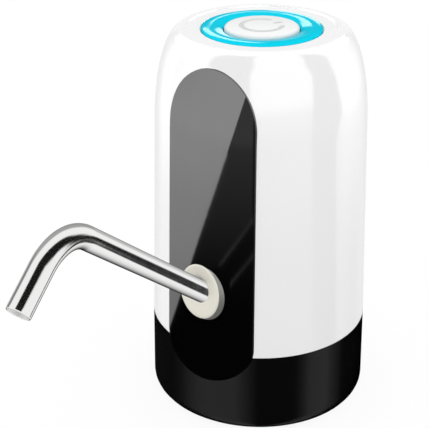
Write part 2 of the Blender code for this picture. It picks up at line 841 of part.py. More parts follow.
def make_pump(axis, rotor_axis, finishes):
    """Diaphragm pump head: cover, valve sheet, valve plate, diaphragm, wobble plate, case and screws."""
    cup_turns = [pi / cups + index * 2 * pi / cups for index in range(cups)]
    cup_places = [(cup_circle * cos(turn), cup_circle * sin(turn), 0) for turn in cup_turns]
    screw_turns = [pi / 2 + index * 2 * pi / cups for index in range(cups)]
    screw_places = [(screw_circle * cos(turn), screw_circle * sin(turn)) for turn in screw_turns]

    def disc(name, bottom, top, material):
        """A disc of the pump head's radius with a hole for each long screw."""
        made = turned(name, rod_profile(head_radius, bottom, top), material, axis)
        for index, place in enumerate(screw_places):
            hole = rod_profile(small_screw_radius + gap, bottom - overrun, top + overrun)
            cut(made, turned(f"{name}_hole_{index + 1}", hole, None, axis, (*place, 0), screw_steps))
        return made

    cover = disc("pump_cover", pump_bottom, cover_top, finishes["plastic"])
    for name, place in (("inlet", (-barb_circle, 0, 0)), ("outlet", (barb_circle, 0, 0))):
        barb = barb_profile(pump_bottom + gap, barb_length + gap, -1)
        barb = turned(f"pump_{name}_barb", barb, None, axis, place, barb_steps)
        bore = rod_profile(barb_bore_radius, pump_bottom - barb_length - overrun, cover_top + overrun)
        join(cover, barb)
        cut(cover, turned(f"pump_{name}_bore", bore, None, axis, place, screw_steps))
    for index, place in enumerate(screw_places):
        sink_top = pump_bottom + small_screw_head + gap
        sink = rod_profile(small_screw_head_radius + gap, pump_bottom - overrun, sink_top)
        cut(cover, turned(f"pump_screw_sink_{index + 1}", sink, None, axis, (*place, 0), screw_steps))

    sheet = disc("valve_sheet", sheet_bottom, sheet_bottom + valve_sheet_thickness, finishes["silicone"])
    plate_end = valve_plate_bottom + valve_plate_thickness
    plate = disc("valve_plate", valve_plate_bottom, plate_end, finishes["plastic"])
    for index, turn in enumerate(cup_turns):
        for side, radius in (("in", cup_circle + cup_radius / 2), ("out", cup_circle - cup_radius / 2)):
            spot = (radius * cos(turn), radius * sin(turn), 0)
            hole = rod_profile(valve_hole_radius, sheet_bottom - overrun, skin_bottom + overrun)
            drill = turned(f"valve_{side}_{index + 1}", hole, None, axis, spot, screw_steps)
            cut(sheet, drill)
            cut(plate, drill)

    diaphragm = disc("diaphragm", skin_bottom, skin_top, finishes["silicone"])
    cup_top = skin_top + cup_height
    stud_top = cup_top + wobble_thickness
    for index, spot in enumerate(cup_places):
        cup = [(0, skin_bottom + gap), (cup_radius, skin_bottom + gap), (cup_radius, cup_top),
               (stud_radius, cup_top), (stud_radius, stud_top), (0, stud_top)]
        hollow = rod_profile(cup_radius - cup_wall, skin_bottom - overrun, cup_top - cup_wall)
        join(diaphragm, turned(f"cup_{index + 1}", cup, None, axis, spot, barb_steps))
        cut(diaphragm, turned(f"cup_hollow_{index + 1}", hollow, None, axis, spot, barb_steps))

    wobble_bottom = cup_top + gap
    boss_top = wobble_bottom + wobble_thickness + wobble_boss_height
    pin_socket_radius = crank_throw + pin_radius + 2 * gap
    wobble = turned("wobble_plate", [
        (0, wobble_bottom), (cup_circle + cup_radius / 2, wobble_bottom),
        (cup_circle + cup_radius / 2, wobble_bottom + wobble_thickness),
        (wobble_boss_radius, wobble_bottom + wobble_thickness), (wobble_boss_radius, boss_top),
        (pin_socket_radius, boss_top), (pin_socket_radius, wobble_bottom + wobble_thickness),
        (0, wobble_bottom + wobble_thickness),
    ], finishes["plastic"], axis)
    for index, spot in enumerate(cup_places):
        hole = rod_profile(stud_radius + gap, cup_top - overrun, stud_top + overrun)
        cut(wobble, turned(f"stud_hole_{index + 1}", hole, None, axis, spot, screw_steps))

    case = turned("crank_case", [
        (case_cavity_radius, case_bottom), (head_radius, case_bottom), (head_radius, case_end),
        (boss_radius + gap, case_end), (boss_radius + gap, case_end - case_top),
        (case_cavity_radius, case_end - case_top),
    ], finishes["plastic"], axis)
    long_screw_end = pump_bottom + small_screw_head + 2 * gap + pump_screw_length
    for index, place in enumerate(screw_places):
        hole = rod_profile(small_screw_radius + gap, case_bottom - overrun, long_screw_end + gap)
        cut(case, turned(f"case_hole_{index + 1}", hole, None, axis, (*place, 0), screw_steps))
        screw(f"pump_screw_{index + 1}", axis, (*place, pump_bottom + small_screw_head), small_screw_radius,
              pump_screw_length, small_screw_head_radius, small_screw_head, finishes["steel"])
    motor_turns = (motor_screw_turn, motor_screw_turn + pi)
    motor_screws = [(motor_screw_circle * cos(turn), motor_screw_circle * sin(turn)) for turn in motor_turns]
    for index, place in enumerate(motor_screws):
        hole = rod_profile(small_screw_radius + gap, case_end - case_top - gap, case_end + gap)
        cut(case, turned(f"case_motor_hole_{index + 1}", hole, None, axis, (*place, 0), screw_steps))
        screw(f"motor_screw_{index + 1}", axis, (*place, case_end - case_top - gap), small_screw_radius,
              motor_screw_length, small_screw_head_radius, small_screw_head, finishes["steel"])

    crank_bottom = boss_top + gap
    web_top = crank_bottom + crank_web
    crank = turned("crank", [
        (0, crank_bottom), (crank_radius, crank_bottom), (crank_radius, crank_bottom + crank_thickness),
        (shaft_radius + gap, crank_bottom + crank_thickness), (shaft_radius + gap, web_top), (0, web_top),
    ], finishes["brass"], rotor_axis)
    pin = rod_profile(pin_radius, crank_bottom - pin_length, web_top - crank_web / 2)
    join(crank, turned("crank_pin", pin, None, rotor_axis, (crank_throw, 0, 0), screw_steps))
    make_motor(axis, rotor_axis, web_top + gap, motor_screws, finishes)


def make_motor(axis, rotor_axis, shaft_bottom, screw_places, finishes):
    """Small brushed motor: drawn can with a front boss, two magnets, armature and end cap with tabs."""
    can_inner = motor_radius - motor_wall
    can = turned("motor_can", [
        (shaft_radius + gap, can_bottom - boss_height), (boss_radius, can_bottom - boss_height),
        (boss_radius, can_bottom), (can_inner, can_bottom), (motor_radius, can_bottom + motor_wall),
        (motor_radius, can_top), (can_inner, can_top), (can_inner, can_bottom + motor_wall),
        (boss_radius - motor_wall, can_bottom + motor_wall), (shaft_radius + gap, can_bottom + motor_wall),
    ], finishes["can"], axis)
    for index, place in enumerate(screw_places):
        hole = rod_profile(small_screw_radius + gap, can_bottom - gap, can_bottom + motor_wall + gap)
        cut(can, turned(f"can_hole_{index + 1}", hole, None, axis, (*place, 0), screw_steps))

    core_bottom = can_bottom + armature_lift
    core_top = core_bottom + armature_length
    commutator_bottom = core_top + commutator_gap
    commutator_top = commutator_bottom + commutator_length
    armature = turned("motor_armature", [
        (0, shaft_bottom), (shaft_radius, shaft_bottom), (shaft_radius, core_bottom),
        (armature_radius, core_bottom), (armature_radius, core_top), (winding_neck_radius, core_top),
        (winding_neck_radius, commutator_bottom), (commutator_radius, commutator_bottom),
        (commutator_radius, commutator_top), (shaft_radius, commutator_top), (shaft_radius, can_top),
        (0, can_top),
    ], finishes["steel"], rotor_axis)
    for index in range(armature_slots):
        slot_turn = index * 2 * pi / armature_slots
        slot_axis = joint_axis(f"slot_axis_{index + 1}", rotor_axis, (0, 0, 0), (0, 0, slot_turn))
        depth = armature_radius - commutator_radius
        size = (depth, armature_slot_width, armature_length + 2 * gap)
        centre = (commutator_radius + 2 * gap + depth / 2, 0, (core_bottom + core_top) / 2)
        cut(armature, block(f"armature_slot_{index + 1}", size, centre, None, slot_axis))

    magnet_inner = armature_radius + 2 * gap
    magnet_outer = can_inner - gap
    half = magnet_arc_share * pi / 2
    for index in range(2):
        middle = pi / 2 + index * pi
        outer = arc((0, 0), (magnet_outer, magnet_outer), middle - half, middle + half, arch_steps)
        inner = arc((0, 0), (magnet_inner, magnet_inner), middle + half, middle - half, arch_steps)
        low = [Vector((x, y, core_bottom - gap)) for x, y in outer + inner]
        high = [Vector((x, y, core_top + gap)) for x, y in outer + inner]
        skinned(f"motor_magnet_{index + 1}", [low, high], finishes["magnet"], axis)

    cap_end = cap_bottom + cap_flange
    cap = turned("motor_end_cap", [
        (shaft_radius + gap, can_top - cap_plug), (can_inner - gap, can_top - cap_plug),
        (can_inner - gap, cap_bottom), (motor_radius, cap_bottom), (motor_radius, cap_end),
        (0, cap_end), (0, cap_bottom), (shaft_radius + gap, cap_bottom),
    ], finishes["plastic_dark"], axis)
    for index in range(2):
        size = (terminal_thickness, terminal_width, terminal_height)
        centre = (terminal_spacing * (index - 0.5), 0, terminal_bottom + terminal_height / 2)
        join(cap, block(f"terminal_{index + 1}", size, centre, None, axis))

    inner = motor_radius + gap
    damper_bottom = can_top - motor_grip
    profile = tube_profile(inner + damper_thickness, inner, damper_bottom, damper_bottom + damper_height)
    turned("motor_damper", profile, finishes["foam"], axis)


def make_battery(parent, finishes):
    """Round lithium cell that stands on the chassis floor, with its small protection board on top."""
    bottom = floor_top + gap
    place = (battery_x, battery_y, 0)
    profile = [(0, bottom)]
    flat = battery_radius - battery_round
    profile += arc((flat, bottom + battery_round), (battery_round, battery_round), -pi / 2, 0, round_steps)
    profile += arc((flat, cell_top - battery_round), (battery_round, battery_round), 0, pi / 2, round_steps)
    profile += [(battery_button_radius, cell_top), (battery_button_radius, cell_top + battery_button_height)]
    profile += [(0, cell_top + battery_button_height)]
    turned("battery_cell", profile, finishes["wrap"], parent, place)
    board = rod_profile(battery_radius - gap, battery_board_bottom, battery_board_top)
    turned("battery_board", board, finishes["board"], parent, place)


def make_control(parent, button_axis, finishes):
    """Control board on the chassis: tact switch under the button, lamps under the light ring, two screws."""
    outline = rod_profile(board_radius, board_bottom, board_top)
    board = turned("control_board", outline, finishes["board"], parent, steps=ring_steps)
    for index in range(2):
        spot = (board_screw_circle * (1 - 2 * index), 0)
        hole = rod_profile(small_screw_radius + gap, board_bottom - overrun, board_top + overrun)
        cut(board, turned(f"board_hole_{index + 1}", hole, None, parent, (*spot, 0), screw_steps))
        screw(f"board_screw_{index + 1}", parent, (*spot, board_top + gap), small_screw_radius,
              board_screw_length, small_screw_head_radius, small_screw_head, finishes["steel"],
              upside_down=True)
    for index in range(led_count):
        turn = (index + 0.5) * 2 * pi / led_count
        lamp_axis = joint_axis(f"led_axis_{index + 1}", parent, (0, 0, 0), (0, 0, turn))
        centre = (led_circle, 0, board_top + gap + led_height / 2)
        block(f"led_{index + 1}", (led_width, led_length, led_height), centre, finishes["lamp"], lamp_axis)

    well = plunger_depth + button_travel + gap
    switch = block("tact_switch", (switch_size, switch_size, switch_height),
                   (0, 0, switch_bottom + switch_height / 2), finishes["plastic_dark"], parent, switch_round)
    hole = rod_profile(plunger_radius + gap, switch_top - well, switch_top + overrun)
    cut(switch, turned("plunger_hole", hole, None, parent, steps=barb_steps))
    plunger = rod_profile(plunger_radius, switch_top - plunger_depth, switch_top + plunger_rise)
    turned("tact_plunger", plunger, finishes["plastic"], button_axis, steps=barb_steps)


def make_port(parent, shell, finishes):
    """Charging receptacle on its small board, behind a funnel-edged slot at the back of the shell."""
    back = body_radius(port_height)
    low = port_height
    high = port_height + port_thickness
    front = back - port_recess
    middle = (low + high) / 2
    board_low = low - gap - charge_board_thickness
    receptacle = block("usb_port", (port_width, port_length, port_thickness),
                       (0, front - port_length / 2, middle), finishes["can"], parent)
    hollow = (port_width - 2 * port_wall, port_length, port_thickness - 2 * port_wall)
    hollow_centre = (0, front - port_length / 2 + 2 * port_step, middle)
    cut(receptacle, block("usb_hollow", hollow, hollow_centre, None, parent))
    tongue = (port_width * tongue_width_share, port_length - 2 * port_step, 2 * port_wall)
    join(receptacle, block("usb_tongue", tongue, (0, front - port_length / 2, middle), None, parent))
    board_front = min(spigot_inner_radius, back - wall) - 2 * gap
    size = (2 * charge_board_half_width, charge_board_length, charge_board_thickness)
    edge = sqrt(board_front ** 2 - charge_board_half_width ** 2)
    centre = (0, edge - charge_board_length / 2, board_low + charge_board_thickness / 2)
    block("charge_board", size, centre, finishes["board"], parent)
    slot_width = port_width + 2 * gap
    slot_height = port_thickness + 2 * gap
    slot = (slot_width, 2 * (wall + overrun), slot_height)
    cut(shell, block("port_slot", slot, (0, back, middle), None, parent))
    funnel = (slot_width + 2 * port_funnel, 2 * port_funnel, slot_height + 2 * port_funnel)
    cut(shell, block("port_funnel", funnel, (0, back, middle), None, parent))


def make_all():
    """Build every piece about the body's axis, then centre the whole pump over the origin."""
    finishes = {
        "shell": finish("white_shell", (0.86, 0.87, 0.88), 0.18),
        "collar": finish("black_collar", (0.012, 0.012, 0.013), 0.2),
        "panel": finish("black_panel", (0.015, 0.015, 0.016), 0.06),
        "ring": finish("cyan_ring", (0, 0.62, 0.93), 0.1),
        "button": finish("white_button", (0.84, 0.84, 0.85), 0.25),
        "grommet": finish("cream_silicone", (0.76, 0.74, 0.66), 0.45),
        "spout": finish("polished_steel", (0.72, 0.72, 0.72), 0.14, 1),
        "silicone": finish("clear_silicone", (0.72, 0.74, 0.74), 0.4),
        "gasket": finish("grey_silicone", (0.3, 0.31, 0.32), 0.5),
        "plastic": finish("white_plastic", (0.7, 0.7, 0.68), 0.4),
        "plastic_dark": finish("black_plastic", (0.03, 0.03, 0.03), 0.4),
        "chassis": finish("grey_plastic", (0.45, 0.46, 0.47), 0.45),
        "board": finish("green_board", (0.02, 0.2, 0.08), 0.4),
        "lamp": finish("lamp_white", (0.85, 0.85, 0.7), 0.3),
        "steel": finish("zinc_steel", (0.6, 0.6, 0.6), 0.3, 1),
        "can": finish("motor_steel", (0.55, 0.56, 0.57), 0.28, 1),
        "magnet": finish("ferrite", (0.06, 0.06, 0.065), 0.6),
        "brass": finish("brass", (0.72, 0.5, 0.2), 0.3, 1),
        "foam": finish("black_foam", (0.04, 0.04, 0.04), 0.9),
        "wrap": finish("blue_wrap", (0.03, 0.16, 0.42), 0.35),
    }
    level = Matrix.Rotation(pi / 2 - spout_rise, 4, "X")
    mouth = Vector((0, -mouth_radius, mouth_height))
    spout_loops = along(spout_route(), spout_radius)
    reach = max(-(mouth + level @ point).y for loop in spout_loops for point in loop)
    body = joint_axis("body_axis", None, (0, (reach - foot_radius) / 2, 0))
    spout_axis = joint_axis("spout_axis", body, mouth, (pi / 2 - spout_rise, 0, 0))
    pump_axis = joint_axis("pump_axis", body, (pump_x, pump_y, 0))
    rotor_axis = joint_axis("rotor_axis", pump_axis, (0, 0, 0))
    button_axis = joint_axis("button_axis", body, (0, 0, 0))

    shell = make_shell(body, finishes["shell"])
    collar = make_collar(body, finishes["collar"])
    panel = panel_body("front_panel", panel_depth, panel_proud, 0, finishes["panel"], body)
    pocket = panel_body("panel_pocket", panel_depth + gap, overrun, gap, None, body)
    hole = rod_profile(grommet_neck_radius + gap, -2 * overrun - grommet_radius, grommet_radius + overrun)
    grommet_hole = turned("grommet_hole", hole, None, spout_axis)
    cut(shell, pocket, grommet_hole)
    cut(collar, pocket)
    cut(panel, grommet_hole)
    make_gasket(body, finishes["gasket"])

    make_grommet(spout_axis, finishes["grommet"])
    piped("spout_tube", spout_route(), spout_radius, spout_bore_radius, finishes["spout"], spout_axis)
    sleeve_end = socket_bottom + gap
    sleeve = tube_profile(sleeve_radius, sleeve_bore_radius, sleeve_end, sleeve_end + sleeve_length)
    turned("spout_sleeve", sleeve, finishes["silicone"], spout_axis)
    make_socket(body, spout_axis, finishes["plastic"])

    inlet_place = Vector((pump_x - barb_circle, pump_y, 0))
    nipple_axis = joint_axis("nipple_axis", body, inlet_place)
    make_nipple(nipple_axis, finishes["plastic"])
    washer = tube_profile(flange_radius - gap, nipple_radius + gap, deck_top + gap,
                          deck_top + gap + washer_thickness)
    turned("inlet_washer", washer, finishes["gasket"], nipple_axis)
    flange_top = deck_top + washer_thickness + 2 * gap + flange_thickness
    inlet_profile = tube_profile(hose_radius, hose_bore_radius, flange_top + gap, pump_bottom - gap)
    turned("inlet_hose", inlet_profile, finishes["silicone"], nipple_axis)
    root, heading, _, foot = outlet_line()
    end = Vector((pump_x + barb_circle, pump_y, pump_bottom - gap))
    route = hose_route(root + heading * foot, heading, end, Vector((0, 0, -1)))
    piped("outlet_hose", route, hose_radius, hose_bore_radius, finishes["silicone"], body, hose_sides)

    make_chassis(body, finishes["chassis"])
    make_pump(pump_axis, rotor_axis, finishes)
    make_battery(body, finishes)
    make_control(body, button_axis, finishes)
    make_ring(body, finishes["ring"])
    make_button(button_axis, finishes["button"])
    make_port(body, shell, finishes)
    for index, place in enumerate(post_places):
        seat = (*place, neck_depth + base_screw_head + gap)
        screw(f"base_screw_{index + 1}", body, seat, base_screw_radius, base_screw_length,
              base_screw_head_radius, base_screw_head, finishes["steel"])


for leftover in list(bpy.data.objects):
    bpy.data.objects.remove(leftover, do_unlink=True)
make_all()
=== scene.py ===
"""Looks of a bottled water pump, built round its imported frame: a black collar, a white shell, a black front
panel, a light ring with its button, and a bent steel spout in a cream grommet.

Lengths are in metres. The body's axis is upright, the spout points along -Y, and the floor is z = 0.
"""

import json
from functools import partial, reduce
from math import cos, pi, radians, sin

import bmesh
import bpy
import numpy as np
from mathutils import Matrix, Vector

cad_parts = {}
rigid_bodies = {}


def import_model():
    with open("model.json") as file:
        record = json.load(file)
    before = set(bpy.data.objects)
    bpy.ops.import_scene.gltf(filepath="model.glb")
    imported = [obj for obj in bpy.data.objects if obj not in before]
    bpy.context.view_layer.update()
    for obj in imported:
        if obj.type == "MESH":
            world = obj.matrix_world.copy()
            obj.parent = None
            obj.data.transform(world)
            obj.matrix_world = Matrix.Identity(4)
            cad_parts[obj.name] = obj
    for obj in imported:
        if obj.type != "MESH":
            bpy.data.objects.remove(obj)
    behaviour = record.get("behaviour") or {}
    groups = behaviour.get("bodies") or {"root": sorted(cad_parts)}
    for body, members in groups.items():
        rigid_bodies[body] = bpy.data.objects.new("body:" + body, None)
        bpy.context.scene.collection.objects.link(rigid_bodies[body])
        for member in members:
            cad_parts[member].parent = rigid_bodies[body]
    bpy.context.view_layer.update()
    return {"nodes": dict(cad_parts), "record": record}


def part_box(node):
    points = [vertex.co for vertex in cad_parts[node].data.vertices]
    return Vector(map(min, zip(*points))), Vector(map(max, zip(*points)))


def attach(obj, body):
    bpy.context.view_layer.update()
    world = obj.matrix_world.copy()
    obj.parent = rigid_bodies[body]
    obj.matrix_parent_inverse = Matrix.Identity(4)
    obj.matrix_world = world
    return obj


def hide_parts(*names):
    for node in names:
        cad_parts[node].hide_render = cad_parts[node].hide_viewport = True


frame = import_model()


# The base collar is one black gloss ABS moulding. Its wall drops over the bottle's neck, a deck closes the
# neck's socket, and four screws through the deck hold it to the chassis. Its foot is a flat ring.
ring_low, ring_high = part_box("light_ring")
axis_y = (ring_low.y + ring_high.y) / 2
collar_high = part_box("base_collar")[1]
foot_radius = collar_high.x
seam_height = collar_high.z
seam_radius = 0.03665
wall = 0.0024
gap = 0.0003
hair = 0.0001
overrun = 0.004
crisp, slight, eased = 0.0001, 0.0002, 0.0003
groove = 0.00008
neck_bore = 0.0290
neck_wall = 0.0022
neck_depth = 0.0230
mouth_flare = 0.0008
deck_top = 0.0266
foot_round = 0.0042
foot_inside = 0.0026
foot_side = 0.0048
seam_side = 0.0008
seam_round = 0.00025
groove_depth = 0.0008
groove_bottom = 0.0080
groove_top = 0.0166
seat_radius = 0.0028
seat_floor = 0.0252
screw_hole = 0.0016
nipple_hole = 0.0043
cut_low = 0.020
cut_high = 0.030
screw_places = [(x, axis_y + y) for x, y in (
    (-0.0173, -0.0173), (0.0173, -0.0173), (0.0095, 0.0225), (-0.0095, 0.0225))]
nipple_place = (0.0050, axis_y + 0.0040)
panel_low_half = 0.0162
panel_high_half = 0.0154
panel_low = 0.0316
panel_high = 0.1053
panel_top_arch = 0.0188
panel_bottom_arch = 0.0137
panel_depth = 0.0012
shoulder_radius = 0.0347
crown_radius = 0.0255
shoulder_height = 0.1006
crown_height = 0.12925
lean = (seam_radius - shoulder_radius) / (shoulder_height - seam_height)
collar_black = (0.0030, 0.0030, 0.0032)


def softened(corners, steps=6):
    """A closed outline with round corners. At a corner (radius, height, soft) the outline leaves the straight
    side a length of soft before the corner, and turns on a circle to meet the next side as far after it."""
    points = np.array([corner[:2] for corner in corners], float)
    soft = np.array([corner[2] for corner in corners], float)[:, None]
    back = np.roll(points, 1, axis=0) - points
    on = np.roll(points, -1, axis=0) - points
    back /= np.linalg.norm(back, axis=1, keepdims=True)
    on /= np.linalg.norm(on, axis=1, keepdims=True)
    between = np.arccos(np.clip((back * on).sum(axis=1, keepdims=True), -1, 1))
    turn = np.maximum(pi - between, 1e-4)
    middle = (back + on) / np.maximum(np.linalg.norm(back + on, axis=1, keepdims=True), 1e-9)
    centre = points + middle * soft / np.maximum(np.cos(between / 2), 1e-6)
    share = np.linspace(0, 1, steps + 1)[:, None, None]
    start, end = points + back * soft - centre, points + on * soft - centre
    curve = centre + (np.sin((1 - share) * turn) * start + np.sin(share * turn) * end) / np.sin(turn)
    curve = np.where(soft > 0, curve, points).transpose(1, 0, 2).reshape(-1, 2)
    new = np.linalg.norm(curve - np.roll(curve, 1, axis=0), axis=1) > 1e-8
    return curve[new]


def grid(points, wrap_rows=False, wrap_columns=False):
    """Quads over an array of rows by columns of points; a wrap joins the last row or column to the first."""
    rows, columns = points.shape[:2]
    number = np.arange(rows * columns).reshape(rows, columns)
    if wrap_rows:
        number = np.concatenate([number, number[:1]], axis=0)
    if wrap_columns:
        number = np.concatenate([number, number[:, :1]], axis=1)
    quads = np.stack([number[:-1, :-1], number[:-1, 1:], number[1:, 1:], number[1:, :-1]], axis=-1)
    return points.reshape(-1, 3), quads.reshape(-1, 4)


def turned(outline, steps=288, centre=(0, axis_y)):
    """A closed outline of (radius, height) carried round an upright axis: x = r sin a, y = -r cos a."""
    angle = np.linspace(0, 2 * pi, steps, endpoint=False)[:, None]
    radius, height = outline.T
    x, y = centre[0] + radius * np.sin(angle), centre[1] - radius * np.cos(angle)
    return grid(np.stack([x, y, height + 0 * angle], axis=-1), wrap_rows=True, wrap_columns=True)


def shaded(mesh, sharp=32):
    """Smooth shading, broken at edges that turn by more than the sharp angle in degrees."""
    mesh.shade_smooth()
    mesh.set_sharp_from_angle(angle=radians(sharp))


def add_object(name, data):
    """An object of a mesh or of a camera, linked to the scene."""
    made = bpy.data.objects.new(name, data)
    bpy.context.scene.collection.objects.link(made)
    return made


def add_mesh(name, surfaces, sharp=32, merge_reach=2e-7):
    """One mesh object from surfaces of (points, quads): merged where they meet, with its faces pointing out."""
    mesh = bpy.data.meshes.new(name)
    start = np.cumsum([0] + [len(points) for points, _ in surfaces])
    points = np.concatenate([points for points, _ in surfaces])
    quads = np.concatenate([quads + first for (_, quads), first in zip(surfaces, start)])
    mesh.from_pydata(points, [], quads.tolist())
    shape = bmesh.new()
    shape.from_mesh(mesh)
    bmesh.ops.remove_doubles(shape, verts=shape.verts, dist=merge_reach)
    bmesh.ops.recalc_face_normals(shape, faces=shape.faces)
    shape.to_mesh(mesh)
    shape.free()
    shaded(mesh, sharp)
    return add_object(name, mesh)


def carved(piece, *cutters):
    """Cut closed shapes out of a piece and drop the cutters."""
    for cutter in cutters:
        step = piece.modifiers.new(cutter.name, "BOOLEAN")
        step.object = cutter
    bpy.context.view_layer.update()
    solid = piece.evaluated_get(bpy.context.evaluated_depsgraph_get())
    mesh = bpy.data.meshes.new_from_object(solid)
    piece.modifiers.clear()
    piece.data = mesh
    for cutter in cutters:
        bpy.data.objects.remove(cutter, do_unlink=True)
    shaded(mesh)
    return piece


def settle(piece, material, body, slot, *nodes):
    """Give a piece its material, its body and the nodes that it stands for; the slot is not used."""
    piece.data.materials.clear()
    piece.data.materials.append(material)
    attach(piece, body)
    if nodes:
        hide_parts(*nodes)


def body_radius(height):
    """Outer radius of the body: straight to the seam, straight to the shoulder, then a quarter ellipse that
    sets off at the side's lean: crown + (shoulder - crown) sqrt(1 - t^2) - lean h t (1 - t)."""
    low = foot_radius + (seam_radius - foot_radius) * height / seam_height
    side = seam_radius - lean * (height - seam_height)
    dome_height = crown_height - shoulder_height
    climb = np.clip((height - shoulder_height) / dome_height, 0, 1)
    dome = crown_radius + (shoulder_radius - crown_radius) * np.sqrt(1 - climb ** 2)
    dome -= lean * dome_height * climb * (1 - climb)
    return np.where(height < seam_height, low, np.where(height < shoulder_height, side, dome))


def on_side(height, soft=0):
    """A corner of an outline that lies on the body's surface at a height."""
    return float(body_radius(np.array(height))), height, soft


def panel_side(spread, arch_steps=36, side_steps=120):
    """Right half of the panel's outline as (x, z), bottom to top: a quarter ellipse, a side that draws in a
    little and a quarter ellipse, all moved out by spread."""
    turn = np.linspace(0, pi / 2, arch_steps + 1)
    low_x, low_z = (panel_low_half + spread) * np.sin(turn), (panel_bottom_arch + spread) * np.cos(turn)
    top_x, top_z = (panel_high_half + spread) * np.cos(turn), (panel_top_arch + spread) * np.sin(turn)
    low = np.stack([low_x, panel_low - low_z], axis=-1)
    top = np.stack([top_x, panel_high + top_z], axis=-1)
    side = np.linspace(low[-1], top[0], side_steps + 1)[1:-1]
    return np.concatenate([low, side, top])


def on_body(flat, out):
    """Points (x, z) seen from the front, put on the body's surface moved out by a length."""
    radius = body_radius(flat[..., 1]) + out
    depth = np.sqrt(np.maximum(radius ** 2 - flat[..., 0] ** 2, 0))
    return np.stack([flat[..., 0], axis_y - depth, flat[..., 1]], axis=-1)


def panel_block(name, rim, columns=49, last_column=0.985):
    """A closed plate inside the panel's outline. rim lists (spread, out) from the back edge to the front
    edge: each is one loop of the outline on the body, and the first and last are filled across in rows."""
    across = np.concatenate([[-1], np.linspace(-last_column, last_column, columns - 2), [1]])
    across = across[None, :, None] * np.array([1, 0]) + np.array([0, 1])
    loops = []
    faces = []
    for spread, out in rim:
        side = panel_side(spread)
        loops.append(on_body(np.concatenate([side, side[::-1] * (-1, 1)]), out))
        faces.append(on_body(side[:, None, :] * across, out))
    edge = np.stack(loops)
    return add_mesh(name, [grid(edge, wrap_columns=True), grid(faces[0]), grid(faces[-1])])


def recess_block():
    """The panel's recess in the body, as a cutter."""
    return panel_block("recess", [(groove, -panel_depth - gap), (groove, overrun)])


def rod_outline(radius, low, high):
    """The closed outline (radius, height) of a plain rod about its own line."""
    return np.array([(0, low), (radius, low), (radius, high), (0, high)])


def rod(name, place, *sizes, steps=48):
    """A plain upright rod, as a cutter."""
    return add_mesh(name, [turned(rod_outline(*sizes), steps, place)])


def feed(node, inputs):
    """Feed each input of a node from a socket or from another node's first output, or set it to a value."""
    for name, value in inputs.items():
        if isinstance(value, bpy.types.Node):
            value = value.outputs[0]
        if isinstance(value, bpy.types.NodeSocket):
            node.id_data.links.new(value, node.inputs[name])
        else:
            node.inputs[name].default_value = value


def add_node(tree, kind, inputs={}, **settings):
    """A node of a kind, with its settings made and its inputs fed."""
    node = tree.nodes.new("ShaderNode" + kind)
    for name, setting in settings.items():
        setattr(node, name, setting)
    feed(node, inputs)
    return node


def moulded(name, colour, roughness, grain=700, relief=0.004, drift=0.02, spread=0.05):
    """Moulded plastic or rubber. A wide noise drifts the colour and the gloss a little over the piece, and a
    fine noise raises the skin's orange peel."""
    material = bpy.data.materials.new(name)
    material.use_nodes = True
    tree = material.node_tree
    place = add_node(tree, "TexCoord").outputs["Object"]
    wide = add_node(tree, "TexNoise", {"Vector": place, "Scale": 45, "Detail": 3})
    fine = add_node(tree, "TexNoise", {"Vector": place, "Scale": grain, "Detail": 2})
    tone = add_node(tree, "Mix", {
        "Factor": wide,
        "A": (*(max(0, part * (1 - drift)) for part in colour), 1),
        "B": (*(min(1, part * (1 + drift)) for part in colour), 1),
    }, data_type="RGBA")
    gloss = add_node(tree, "MapRange", {
        "Value": wide, "To Min": roughness * (1 - spread), "To Max": roughness * (1 + spread)})
    peel = add_node(tree, "Bump", {"Strength": relief, "Distance": 0.0005, "Height": fine})
    feed(tree.nodes["Principled BSDF"], {"Base Color": tone.outputs["Result"], "Roughness": gloss, "Normal": peel})
    return material


collar_outline = softened([
    (neck_bore + mouth_flare, 0, slight), (foot_radius, 0, foot_round), on_side(foot_side),
    on_side(seam_height - seam_side), (seam_radius, seam_height, seam_round),
    (seam_radius - wall, seam_height, slight), (seam_radius - wall, foot_inside, eased),
    (neck_bore + neck_wall, foot_inside, eased),
    (neck_bore + neck_wall, deck_top, eased), (0, deck_top, 0), (0, neck_depth, 0), (neck_bore, neck_depth, eased),
    (neck_bore, groove_top, crisp), (neck_bore + groove_depth, groove_top, crisp),
    (neck_bore + groove_depth, groove_bottom, crisp), (neck_bore, groove_bottom, crisp),
    (neck_bore, mouth_flare, slight),
])
collar = add_mesh("collar", [turned(collar_outline)])
seats = [rod("seat", place, seat_radius, cut_low, seat_floor) for place in screw_places]
holes = [rod("hole", place, screw_hole, cut_low, cut_high) for place in screw_places]
carved(collar, recess_block(), *seats, *holes, rod("nipple_hole", nipple_place, nipple_hole, cut_low, cut_high))
black_gloss = moulded("black_gloss", collar_black, roughness=0.13, grain=500, relief=0.01)
settle(collar, black_gloss, "housing", "black_collar", "base_collar")


# The upper shell is one white gloss ABS moulding: a straight side, a tall round shoulder and a shallow dish
# on top with a hole for the light ring. A spigot at its foot slips into the collar.
dish = crown_height - 0.0005
rim_width = 0.0012
rim_foot = 0.0015
ring_hole = 0.0197
plate_under = dish - wall
shell_bottom = seam_height + hair
shell_side = 0.0293
spigot_inside = 0.0326
spigot_bottom = 0.0270
spigot_top = 0.0315
wall_foot = 0.0327
wall_foot_round = 0.0005
port_height = 0.0398
port_back = 0.040
mouth_height = 0.0504
mouth_proud = 0.0004
rise = radians(37.2)
mouth = Vector((0, axis_y - on_side(mouth_height)[0] - mouth_proud, mouth_height))
spout_frame = Matrix.Translation(mouth) @ Matrix.Rotation(pi / 2 - rise, 4, "X")
hole_radius = 0.0059
hole_low = -0.013
hole_high = 0.010
square = np.array([(-1, -1), (1, -1), (1, 1), (-1, 1)])
white = (0.855, 0.855, 0.855)


